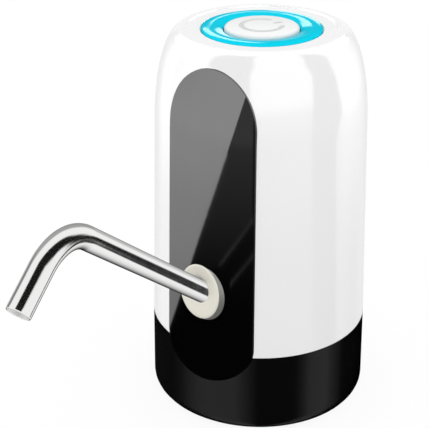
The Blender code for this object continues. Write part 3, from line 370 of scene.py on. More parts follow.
def quarter(radius, top_radius, low, top, steps=60):
    """A quarter ellipse from the leaning side to a level top, as (radius, height, no softening)."""
    turn = np.linspace(0, pi / 2, steps + 1)
    start = lean * (top - low) * np.sin(turn) * (1 - np.sin(turn))
    points = np.stack([top_radius + (radius - top_radius) * np.cos(turn) - start, low + (top - low) * np.sin(turn)])
    return [(r, z, 0) for r, z in points.T]


def about_spout(points):
    """Points about the spout's own line, which leaves its mouth along local +Z, put in the pump's frame."""
    turn = np.array(spout_frame.to_3x3())
    return points @ turn.T + np.array(spout_frame.translation)


def grommet_cut(steps=64):
    """The hole for the grommet's neck along the spout's line, as a cutter: (r cos a, r sin a, height)."""
    angle = np.linspace(0, 2 * pi, steps, endpoint=False)[:, None]
    radius, height = rod_outline(hole_radius, hole_low, hole_high).T
    points = np.stack([radius * np.cos(angle), radius * np.sin(angle), height + 0 * angle], axis=-1)
    return add_mesh("grommet_hole", [grid(about_spout(points), wrap_rows=True, wrap_columns=True)])


def port_block(name, half_width, half_height, front, corner):
    """A block with round corners that runs along Y through the back of the shell at the charging port."""
    flat = softened([(half_width * x, port_height + half_height * z, corner) for x, z in square])
    depth = np.array([front, front, port_back, port_back])[:, None]
    shrink = np.array([0, 1, 1, 0])[:, None]
    x = flat[:, 0] * shrink
    z = (flat[:, 1] - port_height) * shrink + port_height
    points = np.stack([x, axis_y + depth + 0 * x, z], axis=-1)
    return add_mesh(name, [grid(points, wrap_columns=True)])


shell_outline = softened([
    on_side(shell_bottom, slight), on_side(shell_side),
    *quarter(shoulder_radius, crown_radius, shoulder_height, crown_height),
    (crown_radius - rim_width, crown_height, slight), (crown_radius - rim_foot, dish, slight),
    (ring_hole, dish, eased), (ring_hole, plate_under, 0),
    *quarter(shoulder_radius - wall, crown_radius - wall, shoulder_height, plate_under, steps=20)[::-1],
    (seam_radius - wall, wall_foot, wall_foot_round), (spigot_inside, spigot_top, slight),
    (spigot_inside, spigot_bottom, eased), (seam_radius - wall - gap, spigot_bottom, eased),
    (seam_radius - wall - gap, shell_bottom, crisp),
])
shell = add_mesh("shell", [turned(shell_outline)])
port_slot = port_block("port_slot", half_width=0.00405, half_height=0.0016, front=0.030, corner=0.0008)
port_funnel = port_block("port_funnel", half_width=0.00455, half_height=0.0021, front=0.0358, corner=0.0011)
carved(shell, recess_block(), grommet_cut(), port_slot, port_funnel)
white_gloss = moulded("white_gloss", white, roughness=0.12, grain=450, relief=0.006, drift=0.008)
settle(shell, white_gloss, "housing", "white_shell", "upper_shell")


# The front panel is a glossy black acrylic plate with two arched ends. It is bent to the body, let into the
# shell and the collar across the seam, and stands a hair proud of them with a softly rounded edge.
panel_lift = 0.00015
edge_round = 0.0001
edge_turn = np.linspace(0, pi / 2, 5)
panel_rim = [(0, -panel_depth)] + [
    (edge_round * (cos(turn) - 1), panel_lift - edge_round * (1 - sin(turn))) for turn in edge_turn
]
panel = carved(panel_block("panel", panel_rim), grommet_cut())
piano_black = moulded(
    "piano_black", (0.0012, 0.0012, 0.0013), roughness=0.035, grain=300, relief=0.002, spread=0.3)
settle(panel, piano_black, "housing", "black_panel", "front_panel")


# The grommet is moulded in cream silicone; its dark grey side wall is painted shade of the cream wall. The wall
# lies on the panel, the face is upright, and the neck fills the hole, all slanted along the spout that it seals.
grommet_radius = 0.0071
grommet_proud = 0.0035
grommet_bore = 0.00355
neck_radius = 0.0056
neck_back = -0.004
lip_thickness = 0.0006
lip_back = grommet_proud - lip_thickness
face_round = 0.0005
face_radii = (0.0066, 0.0055, 0.0045)
tallness = 0.17
lowness = 0.10


def oval(radius, steps=128):
    """A loop about the spout's line, round in the neck, that grows a little taller and lower with its lip."""
    angle = np.linspace(0, 2 * pi, steps, endpoint=False)
    lip_reach = max(0, radius - neck_radius) * (grommet_radius - grommet_bore) / (grommet_radius - neck_radius)
    return radius * np.cos(angle), (radius + tallness * lip_reach) * np.sin(angle) - lowness * lip_reach


def slanted(radius, face):
    """A loop about the spout's line that ends on the upright plane a length in front of the mouth:
    out = (y sin rise + face) / cos rise."""
    x, y = oval(radius)
    return np.stack([x, y, (y * sin(rise) + face) / cos(rise)], axis=-1)


def seated(radius, out, rounds=8):
    """A loop about the spout's line that ends on the body's surface moved out by a length: each round takes
    the surface's depth at the heights that the last one found."""
    x, y = oval(radius)
    along = 0 * x
    for _ in range(rounds):
        height = mouth.z + y * cos(rise) + along * sin(rise)
        depth = np.sqrt((body_radius(height) + out) ** 2 - x ** 2)
        along = (y * sin(rise) + depth - (axis_y - mouth.y)) / cos(rise)
    return np.stack([x, y, along], axis=-1)


def ringed(name, loops):
    """A closed ring from loops about the spout's line, the last joined to the first."""
    return add_mesh(name, [grid(about_spout(np.stack(loops)), wrap_rows=True, wrap_columns=True)])


face_turn = np.linspace(0, pi / 2, 7)
grommet_corners = [
    (neck_radius, neck_back), (neck_radius, lip_back), (grommet_radius - hair, lip_back),
    (grommet_radius, lip_back + hair), (grommet_radius, grommet_proud - face_round - hair),
    *((grommet_radius - face_round * (1 - cos(turn)), grommet_proud - face_round * (1 - sin(turn)))
      for turn in face_turn),
    *((radius, grommet_proud) for radius in face_radii), (grommet_bore + hair, grommet_proud),
    (grommet_bore, grommet_proud - hair), (grommet_bore, neck_back),
]
grommet = ringed("grommet", [slanted(radius, face) for radius, face in grommet_corners])
cream_silicone = moulded("cream_silicone", (0.77, 0.74, 0.65), roughness=0.42, grain=900, relief=0.03)
settle(grommet, cream_silicone, "housing", "cream_silicone", "spout_grommet")
# The side wall's dark grey is painted shade: the cream silicone wall, darkened where it turns from the light.
grommet_shade_wall = ringed("grommet_shade_wall", [
    slanted(neck_radius + hair, lip_back), seated(neck_radius + hair, panel_lift + hair),
    seated(grommet_radius - 2 * hair, panel_lift + hair), seated(grommet_radius - hair, panel_lift + 2 * hair),
    slanted(grommet_radius - hair, lip_back),
])
painted_shade_silicone = moulded("painted_shade_silicone", (0.165, 0.165, 0.15), roughness=0.45, grain=900, relief=0.03)
settle(grommet_shade_wall, painted_shade_silicone, "housing", "cream_silicone")


# The spout is a thin tube of polished stainless steel, straight for 76 mm, bent once over a mandrel and cut
# square at its tip. It is pushed 18 mm into its sleeve behind the grommet.
tube_radius = 0.0035
bore_radius = 0.0030
insertion = 0.0180
straight = 0.0760
bend_radius = 0.0159
bend_turn = radians(75.6)
tip_length = 0.0133
straight_rings = 40
bend_rings = 61
tip_rings = 12
lip_rings = 9


def swept(route, headings, radii, sides=96):
    """A tube along a route in the local YZ plane. Each ring lies square to its heading with its own radius:
    its points are route + r (cos a, 0, 0) + r sin a times the square to the heading in that plane."""
    angle = np.linspace(0, 2 * pi, sides, endpoint=False)
    beside = np.stack([0 * headings[:, 0], -headings[:, 2], headings[:, 1]], axis=-1)
    ring = np.cos(angle)[None, :, None] * np.array([1, 0, 0]) + np.sin(angle)[None, :, None] * beside[:, None, :]
    return route[:, None, :] + ring * radii[:, None, None]


turn = np.linspace(0, bend_turn, bend_rings)
bend = np.stack([0 * turn, bend_radius * (np.cos(turn) - 1), straight + bend_radius * np.sin(turn)], axis=-1)
bend_heading = np.stack([0 * turn, -np.sin(turn), np.cos(turn)], axis=-1)
ends = np.linspace(-insertion, straight, straight_rings)[:-1]
start = np.stack([0 * ends, 0 * ends, ends], axis=-1)
start_heading = np.tile(bend_heading[0], (len(start), 1))
tip = bend[-1] + np.linspace(0, tip_length, tip_rings)[1:, None] * bend_heading[-1]
tip_heading = np.tile(bend_heading[-1], (len(tip), 1))
route = np.concatenate([start, bend, tip])
headings = np.concatenate([start_heading, bend_heading, tip_heading])
lip = (tube_radius - bore_radius) / 2
lip_turn = np.linspace(pi / 2, -pi / 2, lip_rings)
lip_route = route[-1] - headings[-1] * lip * (1 - np.cos(lip_turn))[:, None]
butt_route = route[0] + headings[0] * lip * (1 - np.cos(lip_turn[::-1]))[:, None]
tube_route = np.concatenate([route[1:-1], lip_route, route[1:-1][::-1], butt_route])
tube_heading = np.concatenate([
    headings[1:-1], np.tile(headings[-1], (lip_rings, 1)),
    headings[1:-1][::-1], np.tile(headings[0], (lip_rings, 1)),
])
middle_radius = (tube_radius + bore_radius) / 2
tube_radii = np.concatenate([
    np.full(len(route) - 2, tube_radius), middle_radius + lip * np.sin(lip_turn),
    np.full(len(route) - 2, bore_radius), middle_radius + lip * np.sin(lip_turn[::-1]),
])
spout = add_mesh("spout", [
    grid(about_spout(swept(tube_route, tube_heading, tube_radii)), wrap_rows=True, wrap_columns=True)
])


def counted(operation, *values):
    """A Math node over values that are numbers, sockets or nodes."""
    tree = next(value.id_data for value in values if hasattr(value, "id_data"))
    return add_node(tree, "Math", dict(enumerate(values)), operation=operation)


def vector_node(operation, first, second=(0, 0, 0)):
    """A Vector Math node over a socket or node and a set vector."""
    return add_node(first.id_data, "VectorMath", {0: first, 1: second}, operation=operation)


def drawn_steel(name, colour, roughness, stretch=(260, 26, 26), bore_roughness=0.7):
    """Polished tube: long fine drawing lines along the spout's slant vary the gloss. The bore of the tip is
    matt: a point p past the bend's end o is in it where its distance from the tip's line, |(p - o) x h|, is
    below the bore's radius and a tenth of a millimetre."""
    material = moulded(name, colour, roughness, relief=0.01)
    tree = material.node_tree
    place = add_node(tree, "TexCoord").outputs["Object"]
    lay = add_node(tree, "Mapping", {"Vector": place, "Rotation": (rise, 0, 0), "Scale": stretch})
    lines = add_node(tree, "TexNoise", {"Vector": lay, "Scale": 8, "Detail": 4})
    draw = add_node(tree, "MapRange", {"Value": lines, "To Min": roughness * 0.8, "To Max": roughness * 1.4})
    tip_line = spout_frame.to_3x3() @ Vector(bend_heading[-1])
    off = vector_node("SUBTRACT", place, about_spout(bend[-1]))
    apart = vector_node("LENGTH", vector_node("CROSS_PRODUCT", off, tip_line)).outputs["Value"]
    along = vector_node("DOT_PRODUCT", off, tip_line).outputs["Value"]
    in_bore = counted("MULTIPLY", counted("LESS_THAN", apart, bore_radius + hair), counted("GREATER_THAN", along, 0))
    gloss = add_node(tree, "Mix", {"Factor": in_bore, "A": draw, "B": bore_roughness})
    feed(tree.nodes["Principled BSDF"], {"Metallic": 1, "Roughness": gloss})
    return material


polished_steel = drawn_steel("polished_steel", (0.78, 0.78, 0.775), roughness=0.10)
settle(spout, polished_steel, "spout", "polished_steel", "spout_tube")


# The light ring is a glossy cyan light guide. Its face swells to a soft crest between the shell and the
# button, a flange holds it under the shell, and its skirt reaches down to the lamps.
ring_radius = 0.0194
ring_inner = 0.0123
ring_crest = 0.0006
inner_drop = 0.0006
flange_radius = 0.0215
flange_top = plate_under - gap
flange_bottom = flange_top - 0.0012
guide_outside = 0.0174
guide_inside = 0.0142
guide_bottom = 0.1144
crest_turn = np.linspace(0, pi, 41)
crest_radius = (ring_radius + ring_inner) / 2 - (ring_radius - ring_inner) / 2 * np.cos(crest_turn)
crest_height = dish - inner_drop + inner_drop * (1 - np.cos(crest_turn)) / 2
crest_height += (ring_crest + inner_drop / 2) * np.sin(crest_turn)
ring_outline = np.concatenate([
    np.array([(ring_inner, flange_bottom)]), np.stack([crest_radius, crest_height], axis=-1),
    np.array([
        (ring_radius, flange_top), (flange_radius, flange_top), (flange_radius, flange_bottom),
        (guide_outside, flange_bottom), (guide_outside, guide_bottom),
        (guide_inside, guide_bottom), (guide_inside, flange_bottom),
    ]),
])
ring = add_mesh("ring", [turned(ring_outline)], sharp=50)
cyan_gloss = moulded("cyan_gloss", (0.0, 0.75, 0.96), roughness=0.06, grain=500, relief=0.003, drift=0.03)
settle(ring, cyan_gloss, "housing", "cyan_ring", "light_ring")


# The power button is a satin white cap with a low dome. Its side runs down to a flange that catches under
# the ring, and its stem stands over the switch. The power sign is raised on it.
button_radius = ring_inner - gap
button_top = dish + 0.0007
button_round = 0.0009
dome_height = 0.0003
dome_corner = (0.0066, button_top + 0.00021, 0.004)
catch_radius = 0.0137
catch_top = flange_bottom - gap
catch_bottom = catch_top - 0.0012
cap_inside = 0.0104
cap_under = button_top - 0.0016
stem_radius = 0.0022
stem_bottom = 0.1200
button_outline = softened([
    (0, button_top + dome_height, 0), dome_corner, (button_radius, button_top, button_round),
    (button_radius, catch_top, 0), (catch_radius, catch_top, slight), (catch_radius, catch_bottom, slight),
    (cap_inside, catch_bottom, slight), (cap_inside, cap_under, eased), (stem_radius, cap_under, eased),
    (stem_radius, stem_bottom, slight), (0, stem_bottom, 0),
])
button = add_mesh("button", [turned(button_outline)], sharp=60)
satin_white = moulded("satin_white", (0.88, 0.885, 0.885), roughness=0.2, grain=600, relief=0.01, drift=0.01)
settle(button, satin_white, "button", "white_button", "power_button")
sign_radius = 0.0065
sign_half = 0.0009
sign_height = 0.0003
sign_seat = 0.00005
sign_root = 0.0002
sign_turn = radians(58)
sign_gap = radians(24)
bar_inside = 0.0026
bar_outside = 0.0012


def ridge(path, across, ends=7, sides=17):
    """A raised line on the button along a flat path: a half-round ridge whose width and height fade at both
    ends, as the sine of a quarter turn over the last points."""
    turn = np.linspace(0, pi / 2, ends)
    share = np.concatenate([np.sin(turn), np.ones(len(path) - 2 * ends), np.sin(turn[::-1])])
    side = np.linspace(0, pi, sides)
    wide = np.cos(side)[None, :, None] * across[:, None, :] * sign_half * share[:, None, None]
    flat = path[:, None, :] + wide
    level = button_top + sign_seat + np.sin(side)[None, :] * sign_height * share[:, None]
    top = np.concatenate([flat, level[..., None]], axis=-1)
    under = np.concatenate([flat, np.full(level.shape, button_top - sign_root)[..., None]], axis=-1)
    return grid(np.concatenate([top, under[:, ::-1]], axis=1), wrap_columns=True)


arc_turn = np.linspace(sign_turn + sign_gap, sign_turn + 2 * pi - sign_gap, 120)
arc_across = np.stack([np.cos(arc_turn), np.sin(arc_turn)], axis=-1)
sign_centre = np.array([0, axis_y])
bar_along = np.array([cos(sign_turn), sin(sign_turn)])
bar_run = np.linspace(sign_radius - bar_inside, sign_radius + bar_outside, 30)[:, None]
bar_across = np.tile([-bar_along[1], bar_along[0]], (len(bar_run), 1))
sign = add_mesh("power_sign", [
    ridge(sign_centre + sign_radius * arc_across, arc_across), ridge(sign_centre + bar_run * bar_along, bar_across),
], sharp=60)
# The sign is moulded in the cap's own white; its grey is painted shade, the shade that the raised ridge shows.
sign_painted_shade = moulded("sign_painted_shade", (0.61, 0.615, 0.615), roughness=0.3, grain=900, relief=0.01)
settle(sign, sign_painted_shade, "button", "white_button")


# The gasket that grips the bottle's neck is grey silicone in the collar's groove, with two soft ribs inside.
# It shows from below.
gasket_outside = neck_bore + groove_depth - gap
gasket_inside = 0.0276
gasket_low = groove_bottom + gap
gasket_high = groove_top - gap
gasket_round = 0.0004
gasket_ribs = [(0.0273, 0.0143, 0.0012), (gasket_inside, 0.0123, 0.0008), (0.0273, 0.0103, 0.0012)]
gasket_outline = softened([
    (gasket_outside, gasket_low, slight), (gasket_outside, gasket_high, slight),
    (gasket_inside, gasket_high, gasket_round), *gasket_ribs, (gasket_inside, gasket_low, gasket_round),
])
gasket = add_mesh("gasket", [turned(gasket_outline)])
grey_silicone = moulded("grey_silicone", (0.26, 0.27, 0.28), roughness=0.5, grain=1200, relief=0.04)
settle(gasket, grey_silicone, "housing", "grey_silicone", "neck_gasket")


# The inlet nipple is moulded in milky plastic. Three rings grip the suction tube, the shank passes the deck,
# a flange lies on it inside, and a thin stub takes the inlet hose.
nipple_tip = neck_depth - 0.0130
nipple_bore = 0.0017
nipple_end = 0.0032
barb_radius = 0.0040
barb_foot = 0.0036
barb_pitch = 0.00325
barb_crest_share = 0.8
nipple_flange = 0.0064
nipple_flange_low = 0.0281
nipple_flange_high = 0.0299
stub_radius = 0.0022
stub_bore = 0.0012
stub_top = 0.0375
nipple_rings = [
    corner for index in range(3) for corner in (
        (barb_radius, nipple_tip + barb_pitch * (index + barb_crest_share), slight),
        (barb_foot, nipple_tip + barb_pitch * (index + 1), crisp))
]
nipple_outline = softened([
    (nipple_bore, nipple_tip, slight), (nipple_end, nipple_tip, slight), *nipple_rings, (barb_foot, neck_depth, 0),
    (barb_radius, neck_depth + gap, 0), (barb_radius, nipple_flange_low, 0),
    (nipple_flange, nipple_flange_low, slight), (nipple_flange, nipple_flange_high, slight),
    (stub_radius, nipple_flange_high, 0), (stub_radius, stub_top, slight), (stub_bore, stub_top, 0),
    (stub_bore, neck_depth, 0), (nipple_bore, neck_depth, 0),
])
nipple = add_mesh("nipple", [turned(nipple_outline, 72, nipple_place)])
milk_plastic = moulded("milk_plastic", (0.66, 0.66, 0.64), roughness=0.35, grain=900, relief=0.03)
settle(nipple, milk_plastic, "housing", "white_plastic", "inlet_nipple")


# Four base screws of zinc-plated steel hold the collar. Their pan heads sit in the deck's seats with the face
# down, each with a cross driven into it.
head_face = neck_depth + gap
head_seat = head_face + 0.0016
head_radius = 0.0025
face_radius = 0.0018
head_round = 0.0006
shank_radius = 0.0013
shank_end = head_face + 0.0123
screw_point = head_face + 0.0136
cross_half = 0.0012
blade_half = 0.00022
cross_start = head_face - 0.0005
cross_end = head_face + 0.0009


def plated_steel(name, colour, roughness):
    """Zinc plate: a metal with a soft clouded gloss."""
    material = moulded(name, colour, roughness, grain=1500, relief=0.05, drift=0.06, spread=0.3)
    feed(material.node_tree.nodes["Principled BSDF"], {"Metallic": 1})
    return material


zinc = plated_steel("zinc", (0.62, 0.62, 0.61), roughness=0.3)
screw_outline = softened([
    (0, head_face, 0), (face_radius, head_face, head_round), (head_radius, head_seat, slight),
    (shank_radius, head_seat, 0), (shank_radius, shank_end, slight), (0, screw_point, 0),
])
blade_levels = np.array([cross_start, cross_start, cross_end, cross_end])
blade_shrink = np.array([0, 1, 0.6, 0])
for number, place in enumerate(screw_places, 1):
    screw = add_mesh(f"screw_{number}", [turned(screw_outline, 48, place)])
    blades = []
    for half_x, half_y in ((cross_half, blade_half), (blade_half, cross_half)):
        flat = square * (half_x, half_y) * blade_shrink[:, None, None] + np.array(place)
        points = np.concatenate([flat, np.broadcast_to(blade_levels[:, None, None], (4, 4, 1))], axis=-1)
        blades.append(add_mesh("blade", [grid(points, wrap_columns=True)]))
    carved(screw, *blades)
    settle(screw, zinc, "housing", "zinc_steel", f"base_screw_{number}")


# The pieces inside keep their solids: silicone, plastic, boards, lamps, the motor's steel and magnets, the
# brass, the foam and the cell's wrap. Each takes the finish that its slot names.
inner_finishes = {
    "white_plastic": milk_plastic,
    "grey_silicone": grey_silicone,
    "zinc_steel": zinc,
    "motor_steel": plated_steel("motor_steel", (0.56, 0.57, 0.58), roughness=0.28),
    "brass": plated_steel("brass_rod", (0.72, 0.50, 0.20), roughness=0.25),
    "green_board": moulded("green_board", (0.02, 0.17, 0.07), 0.35, grain=300, relief=0.02, drift=0.2),
}
for slot, colour, roughness, grain, relief in (
    ("clear_silicone", (0.70, 0.72, 0.72), 0.35, 900, 0.02),
    ("grey_plastic", (0.42, 0.43, 0.44), 0.45, 900, 0.05),
    ("black_plastic", (0.02, 0.02, 0.02), 0.4, 900, 0.05),
    ("lamp_white", (0.85, 0.85, 0.70), 0.2, 900, 0.01),
    ("ferrite", (0.05, 0.05, 0.055), 0.6, 1200, 0.1),
    ("black_foam", (0.03, 0.03, 0.03), 0.9, 1500, 0.3),
    ("blue_wrap", (0.03, 0.16, 0.42), 0.3, 200, 0.02),
):
    inner_finishes[slot] = moulded(slot, colour, roughness, grain, relief)
for part in frame["record"]["subparts"]:
    node = frame["nodes"][part["node"]]
    if not node.hide_render:
        node.data.materials.clear()
        node.data.materials.append(inner_finishes[part["material_slot"]])


# The camera stands in front of the pump, to the right of its panel and above it, at the photograph's angle.
# Its roll and its small turn put the body where the photograph's frame has it.
photo_side = 428
focal_pixels = 1220.6
aim_pixel = (259.40, 222.22)
sensor_side = 36
camera_distance = 0.41684
camera_rise = radians(25.93)
camera_round = radians(28.3)
camera_roll = radians(-0.776)
aim = Vector((0, axis_y, 0.060))
back = Vector((sin(camera_round) * cos(camera_rise), -cos(camera_round) * cos(camera_rise), sin(camera_rise)))
turn_right = np.arctan((aim_pixel[0] - photo_side / 2) / focal_pixels)
turn_down = np.arctan((aim_pixel[1] - photo_side / 2) / focal_pixels)
stand = (-back).to_track_quat("-Z", "Y").to_matrix()
stand = stand @ Matrix.Rotation(turn_right, 3, "Y") @ Matrix.Rotation(turn_down, 3, "X")
stand = stand @ Matrix.Rotation(-camera_roll, 3, "Z")
lens = bpy.data.cameras.new("camera")
lens.sensor_width = sensor_side
lens.lens = sensor_side * focal_pixels / photo_side
camera = bpy.context.scene.camera = add_object("camera", lens)
camera.matrix_world = Matrix.Translation(aim + back * camera_distance) @ stand.to_4x4()


# The floor is a plain pale sheet. It shows near white to the camera and keeps a soft shadow, and the gloss
# of the pieces sees the studio's walls in its place.
floor_half = 3.0
floor_glow = 1.01
glow_share = 0.9
pale = (0.95, 0.95, 0.95, 1)
pure_white = (1, 1, 1, 1)
floor_mesh = bpy.data.meshes.new("floor")
floor_mesh.from_pydata([(x * floor_half, y * floor_half, 0) for x, y in square], [], [(0, 1, 2, 3)])
floor = add_object("floor", floor_mesh)
paper = bpy.data.materials.new("paper")
paper.use_nodes = True
tree = paper.node_tree
tree.nodes.remove(tree.nodes["Principled BSDF"])
matt = add_node(tree, "BsdfDiffuse", {"Color": pale})
glow = add_node(tree, "Emission", {"Color": pure_white, "Strength": floor_glow})
seen = counted("MULTIPLY", add_node(tree, "LightPath").outputs["Is Camera Ray"], glow_share)
feed(tree.nodes["Material Output"], {"Surface": add_node(tree, "MixShader", {"Fac": seen, 1: matt, 2: glow})})
floor_mesh.materials.append(paper)


# The studio is a white room. Its light falls evenly from all sides, and its walls are white to the camera.
# The gloss sees no piece and no wall, but soft boxes, which stand on wide spheres round the pump.
world = bpy.data.worlds.new("studio")
bpy.context.scene.world = world
world.use_nodes = True
tree = world.node_tree
even = tree.nodes["Background"]
feed(even, {"Color": pure_white, "Strength": 1})
dark = add_node(tree, "Background", {"Color": (0, 0, 0, 1)})
walls = add_node(tree, "Background", {"Color": pure_white})
ray = add_node(tree, "LightPath").outputs
unseen = add_node(tree, "MixShader", {"Fac": ray["Is Glossy Ray"], 1: even, 2: dark})
seen = add_node(tree, "MixShader", {"Fac": ray["Is Camera Ray"], 1: unseen, 2: walls})
feed(tree.nodes["World Output"], {"Surface": seen})
for thing in bpy.context.scene.objects:
    thing.visible_glossy = False


# The pieces with no room of their own see a tall soft box on the left with a slanted foot, one in front, one on
# the right, one overhead behind, and a dim room. Lines are (climb, across), levels (place, level) and fades
# (start, end, level at the start, level at the end), in degrees from the camera's side.
def surround(name, radius, round_turn, served=(), spared=(), middle=0.07, rows=49, sides=96):
    """A sphere of light about an upright axis that only gloss sees: that of the served pieces, or that of all
    but the spared. Its points are (r sin t sin a, -r sin t cos a, r cos t)."""
    tilt = np.linspace(0, pi, rows)
    outline = np.stack([radius * np.sin(tilt), radius * np.cos(tilt)], axis=-1)
    sphere = add_mesh(name, [turned(outline, sides, (0, 0))])
    sphere.location = (0, axis_y, middle)
    sphere.rotation_euler = (0, 0, round_turn)
    for ray in ("camera", "diffuse", "shadow", "transmission", "volume_scatter"):
        setattr(sphere, "visible_" + ray, False)
    linked = bpy.data.collections.new(name)
    for piece in [*served, *spared]:
        linked.objects.link(piece)
    if spared:
        for row in linked.collection_objects:
            row.light_linking.link_state = "EXCLUDE"
    sphere.light_linking.receiver_collection = linked
    material = bpy.data.materials.new(name)
    material.use_nodes = True
    material.cycles.emission_sampling = "NONE"
    tree = material.node_tree
    tree.nodes.remove(tree.nodes["Principled BSDF"])
    both = add_node(tree, "AddShader", {0: add_node(tree, "BsdfTransparent"), 1: add_node(tree, "Emission")})
    feed(tree.nodes["Material Output"], {"Surface": both})
    sphere.data.materials.append(material)
    return tree


def shine(strength):
    """Light a sphere with a strength that is worked out over it."""
    feed(strength.id_data.nodes["Emission"], {"Strength": strength})


def fade(value, start, end, first=0, last=1):
    """A smooth step from first at start to last at end, which may lie below it: s = 3 t^2 - 2 t^3."""
    if start > end:
        start, end, first, last = end, start, last, first
    return add_node(value.id_data, "MapRange", {
        "Value": value, "From Min": start, "From Max": end, "To Min": first, "To Max": last,
    }, interpolation_type="SMOOTHSTEP")


def chained(operation):
    """A Math operation carried on over any number of values."""
    return lambda *values: reduce(partial(counted, operation), values)


product, total, brightest = chained("MULTIPLY"), chained("ADD"), chained("MAXIMUM")


def away(share):
    """What a mask leaves: 1 - share."""
    return counted("SUBTRACT", 1, share)


def position(tree):
    """The point's three coordinates about the sphere's middle, along its own turned axes, as parts of the
    radius."""
    unit = vector_node("NORMALIZE", add_node(tree, "TexCoord").outputs["Object"])
    split = add_node(tree, "SeparateXYZ", {"Vector": unit}).outputs
    return split["X"], split["Y"], split["Z"]


def bearing(side, depth):
    """The turn about the upright axis from the sphere's front, in degrees: the angle of (-depth, side)."""
    return counted("DEGREES", counted("ARCTAN2", side, counted("MULTIPLY", depth, -1)))


def elevation(height):
    """The climb above the level, in degrees: the arc sine of the height."""
    return counted("DEGREES", counted("ARCSINE", height))


def curved(along, line, margin=1, headroom=0.1):
    """The height of a line of (place, height) over a place along it, straight between its points and level
    beyond its ends."""
    places, heights = np.array(line, float).T
    first, span = places.min() - margin, np.ptp(places) + 2 * margin
    low, high = heights.min() - headroom, heights.max() + headroom
    share = counted("DIVIDE", counted("SUBTRACT", along, first), span)
    bent = add_node(along.id_data, "FloatCurve", {"Value": share})
    curve = bent.mapping.curves[0]
    levels = (heights - low) / (high - low)
    curve.points[0].location = (0, levels[0])
    curve.points[1].location = (1, levels[-1])
    for place, level in zip((places - first) / span, levels):
        curve.points.new(place, level)
    for point in curve.points:
        point.handle_type = "VECTOR"
    bent.mapping.update()
    return counted("MULTIPLY_ADD", bent, high - low, low)


def beyond(value, along, line, soft):
    """1 where a value is past a line that is drawn over the places along, 0 before it, and a smooth step over
    a soft width to each side."""
    return fade(counted("SUBTRACT", value, curved(along, line)), -soft, soft)


def near_line(value, along, line, reach, full_share=0.2):
    """1 where a value lies near a line that is drawn over the places along, within a share of the reach, with
    a smooth step to 0 at the reach."""
    return fade(counted("ABSOLUTE", counted("SUBTRACT", value, curved(along, line))), reach, full_share * reach)


tree = surround("soft_boxes", 30, camera_round, spared=[collar, spout, ring, button, sign])
side, depth, height = position(tree)
across, climb = bearing(side, depth), elevation(height)
aside = counted("ABSOLUTE", across)
foot_fade = (-30.9, -29.9)
above_foot = fade(climb, *foot_fade)

left_edge = [
    (-29.3, -111.3), (-28.1, -99.1), (-26.4, -83.9), (-24.7, -70.6), (-23.1, -58.3), (-22.1, -50.9), (-21.1, -43.6),
    (-20.3, -38.1), (-19.6, -33.0), (-15.7, -29.3), (-12.5, -26.5), (-9.5, -24.2), (-6.4, -22.0), (-2.4, -19.4),
    (1.4, -17.3), (5.5, -15.5), (6.3, -15.9), (9.7, -19.9), (12.9, -24.5), (16.1, -29.5), (18.9, -35.2),
    (21.3, -41.1), (22.8, -47.5), (23.4, -53.8), (24.3, -66.5), (42.4, -71.8), (62, -78),
]
left_edge_shift = 0.7
left_edge_soft = 0.8
left_levels = [(-113, 2.55), (-108, 2.95), (-101, 3.4), (-94, 3.9), (-82, 4.6), (-72, 5.1), (-60, 5.4), (-43, 5.7)]
left_fall = [(-30, 0.50), (-27.5, 0.56), (-25, 0.70), (-22.5, 0.78), (-20.4, 0.90), (-13, 1)]
strip_side = (-112, -114)
strip_floor = 0.85
strip_levels = [(-150, 0.02), (-141.6, 0.30), (-138, 0.57), (-132, 1.25), (-126, 1.7), (-112, 2.4)]
strip_fall = [(-26, 0.30), (-23.5, 0.35), (-20.5, 0.74), (-10, 1)]
on_strip = fade(across, *strip_side)
strip = total(strip_floor, product(curved(across, strip_levels), curved(climb, strip_fall)))
box = product(curved(across, left_levels), curved(climb, left_fall))
left = product(
    away(beyond(counted("ADD", across, left_edge_shift), climb, left_edge, left_edge_soft)), above_foot,
    total(product(on_strip, strip), product(away(on_strip), box)))

edge_soft = 1
front_near = [
    (-20, -2), (-14, -2.5), (-8.6, -3.2), (-5.8, -4.4), (-3, -6.2), (0, -8.5), (3.2, -11.3), (10.3, -12.5),
    (24.2, -13.2), (42.5, -10.1), (72, -17.1),
]
front_far = [
    (-26.3, 59.0), (-24.5, 58.1), (-22.1, 57.2), (-19.8, 55.9), (-13.4, 54.8), (-5.8, 56.3), (4.3, 57.8), (15, 59.8),
    (30.7, 56.6), (50.5, 67.6), (57, 75), (63, 84), (70, 100),
]
front_levels = [
    (-30, 0.4), (-26.5, 0.6), (-24.1, 0.55), (-23, 0.8), (-21.8, 1.4), (-20.9, 1.7), (-15.1, 1.8), (-11.2, 2.4),
    (-6.1, 2.5), (-3.3, 3.8), (-0.2, 4.7),
]
front = product(
    beyond(across, climb, front_near, edge_soft), away(beyond(across, climb, front_far, edge_soft)), above_foot,
    curved(climb, front_levels))

right_near = [
    (-26.9, 91.7), (-25, 90.6), (-22.6, 88.9), (-20.3, 87.4), (-16.7, 88.9), (-11.6, 95), (-3.3, 90.5), (4.9, 89.4),
    (15.1, 87.2), (27.3, 91),
]
right_end = (155, 98)
right_levels = [(-27.5, 0.85), (-25.6, 0.9), (-23.2, 1.3), (-20.8, 2.0), (-16, 2.6), (-13, 3.2), (-11, 4.0)]
wing = (110, 150, 0, 0.83)
right = product(above_foot, total(
    product(beyond(across, climb, right_near, edge_soft), fade(across, *right_end), curved(climb, right_levels)),
    fade(across, *wing)))

